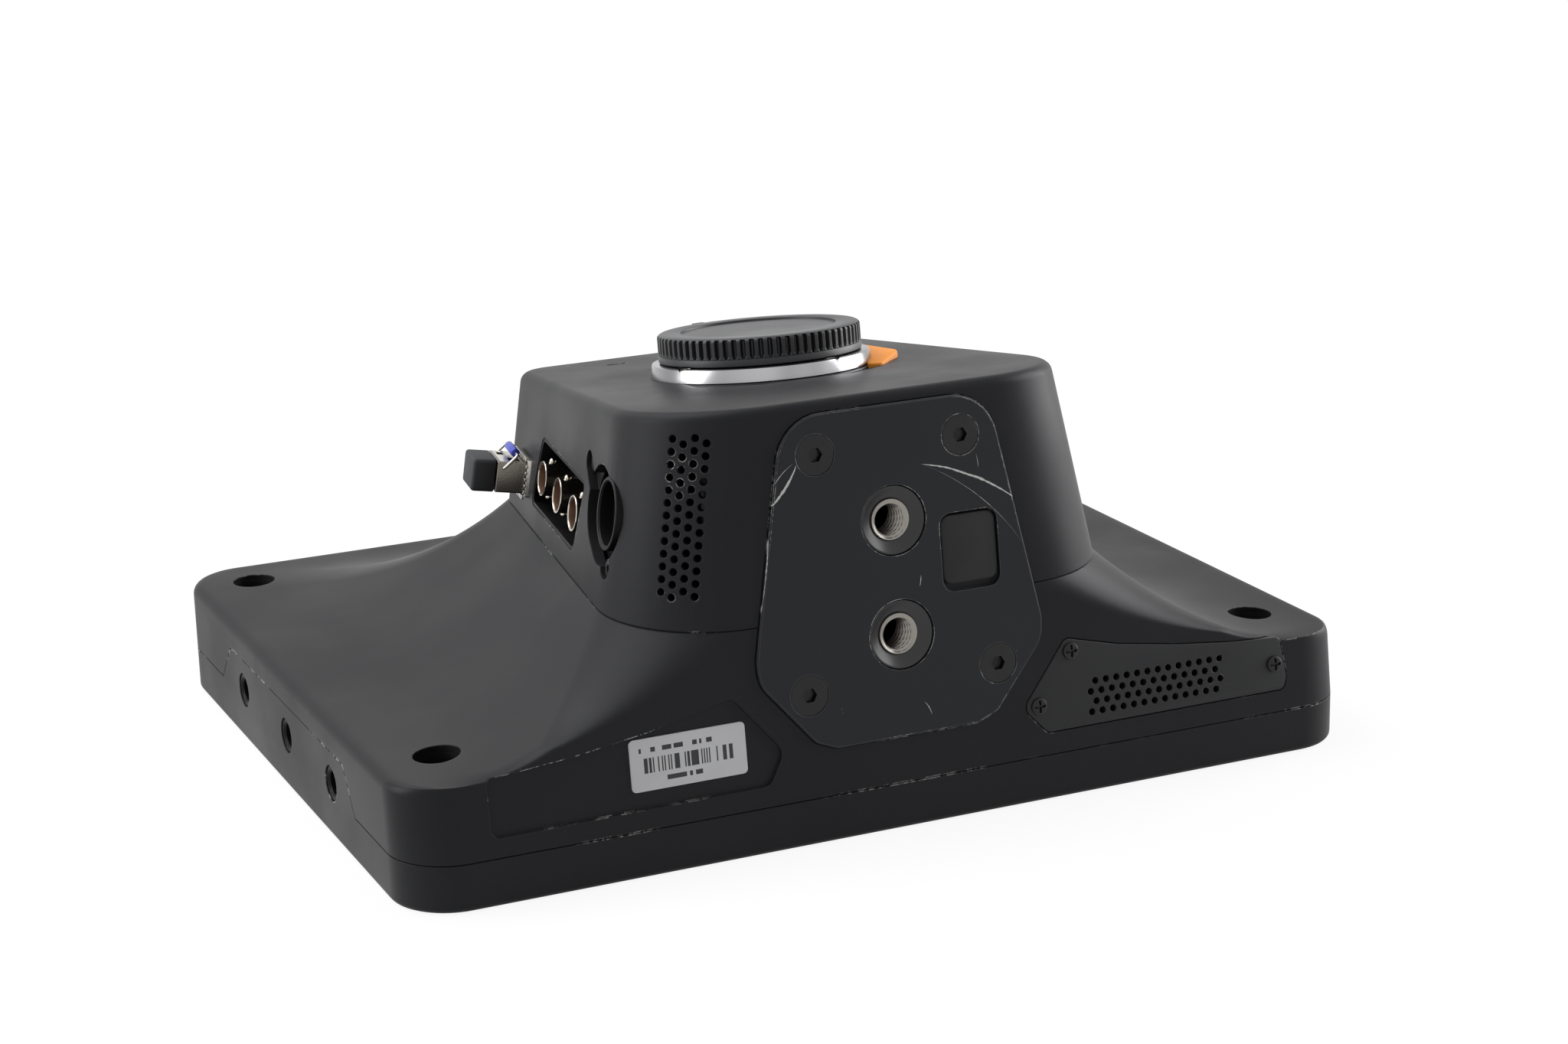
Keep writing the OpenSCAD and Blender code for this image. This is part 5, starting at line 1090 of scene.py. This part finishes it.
class CAMERA_OT_plate(bpy.types.Operator):
    """Make the mounting plate with its screws, bushes and port cover"""
    bl_idname = "camera_looks.plate"
    bl_label = "Mounting plate"

    def execute(self, context):
        near = near_frame()
        sinks = at_places(near, SCREW_PLACES, turned(SINK_PROFILE, 48))
        sinks += [moved(near_frame(0, w), slab(circle(BUSH_SINK_R), -4, 3)) for w in THREADS]
        sinks.append(moved(near_frame(PORT_X, 56.0), brick((16.4, 20.2, 3.2), -0.9, 3)))
        piece("tripod_plate", [moved(near, slab(plate_outline(), -PLATE_BED, PLATE_PROUD, 0.4, steps=1))], "plate",
              ["mounting_plate"], [sinks])
        piece("plate_bolts", at_places(near, SCREW_PLACES, hex_screw(5.15, 2.6, 1.75), PLATE_PROUD - 0.05),
              "black screw", ["plate_screws"])
        for name, w in zip(("upper", "lower"), THREADS):
            place = near_frame(0, w)
            piece(f"bush_ring_{name}", [moved(place, hoop(BUSH_RING, 72))], "dark anodised")
            piece(f"bush_{name}", [moved(place, threaded_bush())], "steel", [f"thread_insert_{name}"])
        cover = brick((15.7, 17.9, 2.7), PLATE_PROUD - 1.9, PLATE_PROUD - 0.4, 0.6)
        piece("port_cover", [moved(near_frame(PORT_X, PORT_W), cover)], "rubber", ["usb_cover"],
              body="usb_cover")
        return {"FINISHED"}


class CAMERA_OT_covers(bpy.types.Operator):
    """Make the speaker cover, the screws, the sticker and the corner screws"""
    bl_idname = "camera_looks.covers"
    bl_label = "Covers and screws"

    def execute(self, context):
        near = near_frame()
        cover = moved(near, slab(outline_of(COVER, COVER_R, -COVER_GAP), -COVER_BED, 0.15, 0.35))
        hole_x, hole_y = HOLE_AT
        holes = [moved(near, slab(circle(HOLE_R, 16) + [hole_x - HOLE_SHIFT * (row % 2) + HOLE_PITCH * column,
                                                        hole_y - HOLE_DROP * row], -3, 1))
                 for row in range(HOLE_ROWS) for column in range(HOLE_COLUMNS)]
        piece("grille_cover", [cover], "cover", ["speaker_cover"], [holes])
        piece("cover_bolts", at_places(near, COVER_SCREWS, cross_screw(2.2, 0.8), 0.15), "black screw",
              ["cover_screws"])
        piece("corner_bolts", at_places(upright(), WELLS, hex_screw(3.3, 2.2, 1.4, False), SLAB_H - WELL_DEEP),
              "black screw", ["corner_screws"])
        sticker = brick((*LABEL_SIZE, 1.2), -LABEL_BED, -0.5, 0.05)
        piece("sticker", [moved(near_frame(*LABEL_AT), sticker)], "label", ["label_plate"])
        return {"FINISHED"}


class CAMERA_OT_sockets(bpy.types.Operator):
    """Make the video, power and audio sockets and the fibre module"""
    bl_idname = "camera_looks.sockets"
    bl_label = "Sockets"

    def execute(self, context):
        self.video_sockets()
        self.power_socket()
        for number, y in enumerate(JACKS, 1):
            piece(f"audio_rim_{number}", [moved(left_wall_frame(y, JACK_Z), hoop(AUDIO_RIM, 48))], "black plastic",
                  [f"audio_jack_{number}"])
        self.fibre_module()
        return {"FINISHED"}

    def video_sockets(self):
        """The leaning recess with three barrels, each with two lugs and a liner."""
        video = left_frame(*BNC_AT)
        piece("socket_pocket", [moved(video, slab(socket_field(0.0), -VIDEO_DEEP, -0.15))], "black plastic",
              ["bnc_panel"], [[moved(video, slab(socket_field(-0.9), -VIDEO_DEEP + 0.7, 1))]])
        parts = [hoop(VIDEO_BARREL)] + [bolt_ball([0, side * 5.0, -2.6], 0.95) for side in (1, -1)]
        for number in (1, 2, 3):
            place = [(BNC_AT[0] + VIDEO_X - (2 - number) * VIDEO_PITCH, VIDEO_Y)]
            barrel = [moved(video, moved(upright(*place[0]), part)) for part in parts]
            piece(f"video_barrel_{number}", barrel, "nickel", [f"bnc_jack_{number}"])
            piece(f"video_liner_{number}", at_places(video, place, hoop(VIDEO_LINER, 48)), "socket bore")

    def power_socket(self):
        """The round power socket: its shell and bed, four pins and two screws in its ears."""
        power = left_frame(*XLR_AT)
        shell, bed = hoop(POWER_SHELL, 96), slab(grown(scoop_outline(), 0.6), -5.4, -4.2)
        piece("power_shell", [moved(power, shell), moved(power, bed)], "black plastic",
              ["xlr_shell", "xlr_insert"])
        piece("power_pins", at_places(power, polar(PIN_RING_R, PIN_TURNS, 0)[:, :2], turned(POWER_PIN, 20), -14.5),
              "steel")
        piece("power_bolts", at_places(power, EARS, hex_screw(2.5, 1.2, 1.0, False), -2.4), "black screw",
              ["xlr_screws"])

    def fibre_module(self):
        """The cage's flange with spring fingers, the module with its windows, the bail and the dust plug."""
        seat = left_frame(*SFP_AT)
        piece("cage", [moved(seat, brick(*CAGE))], "cage", ["sfp_cage"],
              [[moved(seat, brick(*CAGE_BORE))]])
        x, y = FINGER_ROWS
        rows = [(x + FINGER_PITCH * i, side * y) for i in range(8) for side in (-1, 1)]
        x, y = FINGER_COLUMNS
        columns = [(side * x, y + FINGER_PITCH * i) for i in range(5) for side in (-1, 1)]
        fingers = at_places(seat, rows, brick((0.9, 1.3, 0.2), 0, 0.7, 0.1), 1.0)
        fingers += at_places(seat, columns, brick((1.3, 0.9, 0.2), 0, 0.7, 0.1), 1.0)
        piece("cage_fingers", fingers, "cage")

        def on_top(x, y, z, size, low, high):
            """A brick on the module's top face."""
            return moved(seat, moved(frame_of([x, y, z], [1, 0, 0], [0, 0, -1], [0, 1, 0]), brick(size, low, high)))

        windows = [on_top(x, MODULE_TOP, z, (w, h, 0.3), -0.7, 1) for x, z, w, h in WINDOWS]
        piece("fibre_body", [moved(seat, brick(*MODULE))], "module", ["sfp_module"],
              [windows + [moved(seat, brick(*NOSE))]], body="sfp_module")
        piece("fibre_lid", [on_top(0, LID_TOP, LID_Z, *LID)], "cage", (), [windows], body="sfp_module")
        piece("dust_plug", [moved(seat, brick(*PLUG)), moved(seat, brick(*STUB))], "grey rubber",
              ["sfp_plug"], body="sfp_plug")
        away = np.array([0, math.sin(BAIL_TURN), math.cos(BAIL_TURN)])
        tip = BAIL_PIVOT + away * BAIL_ARM
        path = [centre + [x, 0, 0] for centre, x in (
            (BAIL_PIVOT, -BAIL_SIDE + BAIL_END), (BAIL_PIVOT, -BAIL_SIDE), (tip, -BAIL_SIDE), (tip, BAIL_SIDE),
            (BAIL_PIVOT, BAIL_SIDE), (BAIL_PIVOT, BAIL_SIDE - BAIL_END))]
        piece("bail_wire", [moved(seat, tube(bent(path, 0.85), 0.42))], "cage", ["sfp_bail"],
              body="sfp_bail")
        grip = frame_of(tip - [4.4, 0, 0], away, np.cross([1, 0, 0], away), [1, 0, 0])
        piece("bail_sleeve", [moved(seat, moved(grip, brick(*SLEEVE)))], "sleeve", body="sfp_bail")


class CAMERA_OT_inside(bpy.types.Operator):
    """Give the nodes that keep their shape their finishes"""
    bl_idname = "camera_looks.inside"
    bl_label = "Screen and inside"

    def execute(self, context):
        finishes = {
            "glass": ["lcd_glass", "filter_glass"], "display": ["lcd_panel", "image_sensor"],
            "pale plastic": ["backlight"], "board": ["display_board", "sensor_board", "main_board", "sdi_board",
                                                     "button_boards"],
            "frame metal": ["internal_frame", "heat_sink"], "steel": ["usb_socket", "lock_pin", "microphones"],
            "black plastic": ["speaker", "contact_block", "fan_frame", "fan_rotor",
                              *(f"button_{i}" for i in range(1, 7))],
            "battery": ["battery_pack"],
        }
        for name, nodes in finishes.items():
            for node in nodes:
                give(node, material_of(name))
        return {"FINISHED"}


class CAMERA_OT_stage(bpy.types.Operator):
    """Make the floor, the lights, the room and the camera"""
    bl_idname = "camera_looks.stage"
    bl_label = "Stage"

    def execute(self, context):
        scene, stage = context.scene, context.scene.camera_stage
        scene.view_settings.view_transform = "Standard"
        self.floor(scene)
        self.room(scene, stage.world_light)
        for name, place, size, share in LAMPS:
            data = bpy.data.lights.new(name, "AREA")
            data.size, data.energy = size, stage.top_light * share
            x, y, z = np.array(place) - LAMP_TARGET
            self.put(scene, name, data, place, (math.atan2(math.hypot(x, y), z), 0, math.atan2(x, -y)))
        data = bpy.data.cameras.new("view")
        data.sensor_width, data.lens = 36.0, stage.lens
        data.clip_start, data.clip_end = 0.01, 50
        scene.camera = self.put(scene, "view", data, VIEW_PLACE, VIEW_TURN)
        return {"FINISHED"}

    def put(self, scene, name, data, place=(0, 0, 0), turn=(0, 0, 0)):
        """An object of the stage at a place."""
        made = bpy.data.objects.new(name, data)
        made.location, made.rotation_euler = place, turn
        scene.collection.objects.link(made)
        return made

    def floor(self, scene):
        """Pale floor that keeps the shadow, glows a little more away from the camera and is clear from below."""
        mesh = bpy.data.meshes.new("floor")
        corners = [(x * FLOOR_HALF, y * FLOOR_HALF, FLOOR_Z) for x, y in ((-1, -1), (1, -1), (1, 1), (-1, 1))]
        mesh.from_pydata(corners, [], [(0, 1, 2, 3)])
        self.put(scene, "floor", mesh)
        pale = bpy.data.materials.new("pale floor")
        pale.use_nodes = True
        tree = pale.node_tree
        tree.nodes.remove(tree.nodes["Principled BSDF"])
        path = add(tree, "LightPath")
        shade = add(tree, "BsdfDiffuse", {"Color": (0.86, 0.86, 0.86, 1)})
        away = add(tree, "VectorMath", {0: spot(tree)}, operation="LENGTH").outputs["Value"]
        level = add(tree, "MapRange", {0: away, 1: 0.5, 2: 2.5, 3: 1.04, 4: 1.16}).outputs[0]
        glow = add(tree, "Emission", {"Color": (1, 1, 1, 1), "Strength": level})
        looked = maths(tree, "MAXIMUM", path.outputs["Is Camera Ray"], path.outputs["Is Glossy Ray"])
        share = maths(tree, "MULTIPLY", looked, FLOOR_GLOW)
        mixed = add(tree, "MixShader", {0: share, 1: shade.outputs[0], 2: glow.outputs[0]})
        below = add(tree, "NewGeometry").outputs["Backfacing"]
        both = add(tree, "MixShader", {0: below, 1: mixed.outputs[0], 2: add(tree, "BsdfTransparent").outputs[0]})
        feed(tree, tree.nodes["Material Output"], {"Surface": both.outputs[0]})
        mesh.materials.append(pale)

    def room(self, scene, light):
        """White background that lights the object with a small strength."""
        scene.world = bpy.data.worlds.new("room")
        scene.world.use_nodes = True
        tree = scene.world.node_tree
        path = add(tree, "LightPath").outputs
        seen = maths(tree, "MAXIMUM", path["Is Glossy Ray"], path["Is Transmission Ray"])
        seen = maths(tree, "MAXIMUM", path["Is Camera Ray"], seen)
        unseen = maths(tree, "MULTIPLY", maths(tree, "SUBTRACT", 1.0, seen), light)
        feed(tree, tree.nodes["Background"], {0: (1, 1, 1, 1), 1: maths(tree, "ADD", seen, unseen)})


class CAMERA_PT_looks(bpy.types.Panel):
    """Panel with the settings and the operators"""
    bl_idname = "CAMERA_PT_looks"
    bl_label = "Studio camera"
    bl_space_type = "VIEW_3D"
    bl_region_type = "UI"
    bl_category = "Studio camera"

    def draw(self, context):
        for settings in (context.scene.camera_sizes, context.scene.camera_colours, context.scene.camera_stage):
            column = self.layout.column()
            for name in settings.__annotations__:
                column.prop(settings, name)
        for operator in OPERATORS:
            self.layout.operator(operator.bl_idname)


OPERATORS = (CAMERA_OT_housing, CAMERA_OT_block, CAMERA_OT_mount, CAMERA_OT_plate, CAMERA_OT_covers,
             CAMERA_OT_sockets, CAMERA_OT_inside, CAMERA_OT_stage)
SETTINGS = (("camera_sizes", CameraSizes), ("camera_colours", CameraColours), ("camera_stage", CameraStage))


def register():
    """Register the settings, the operators and the panel."""
    for name, kind in SETTINGS:
        bpy.utils.register_class(kind)
        setattr(bpy.types.Scene, name, PointerProperty(type=kind))
    for kind in OPERATORS + (CAMERA_PT_looks,):
        bpy.utils.register_class(kind)


def unregister():
    """Take them out again."""
    for kind in (CAMERA_PT_looks,) + OPERATORS[::-1]:
        bpy.utils.unregister_class(kind)
    for name, kind in SETTINGS[::-1]:
        delattr(bpy.types.Scene, name)
        bpy.utils.unregister_class(kind)


def main():
    """Make everything."""
    register()
    for operator in OPERATORS:
        getattr(bpy.ops.camera_looks, operator.bl_idname.split(".")[1])()


if __name__ == "__main__":
    main()
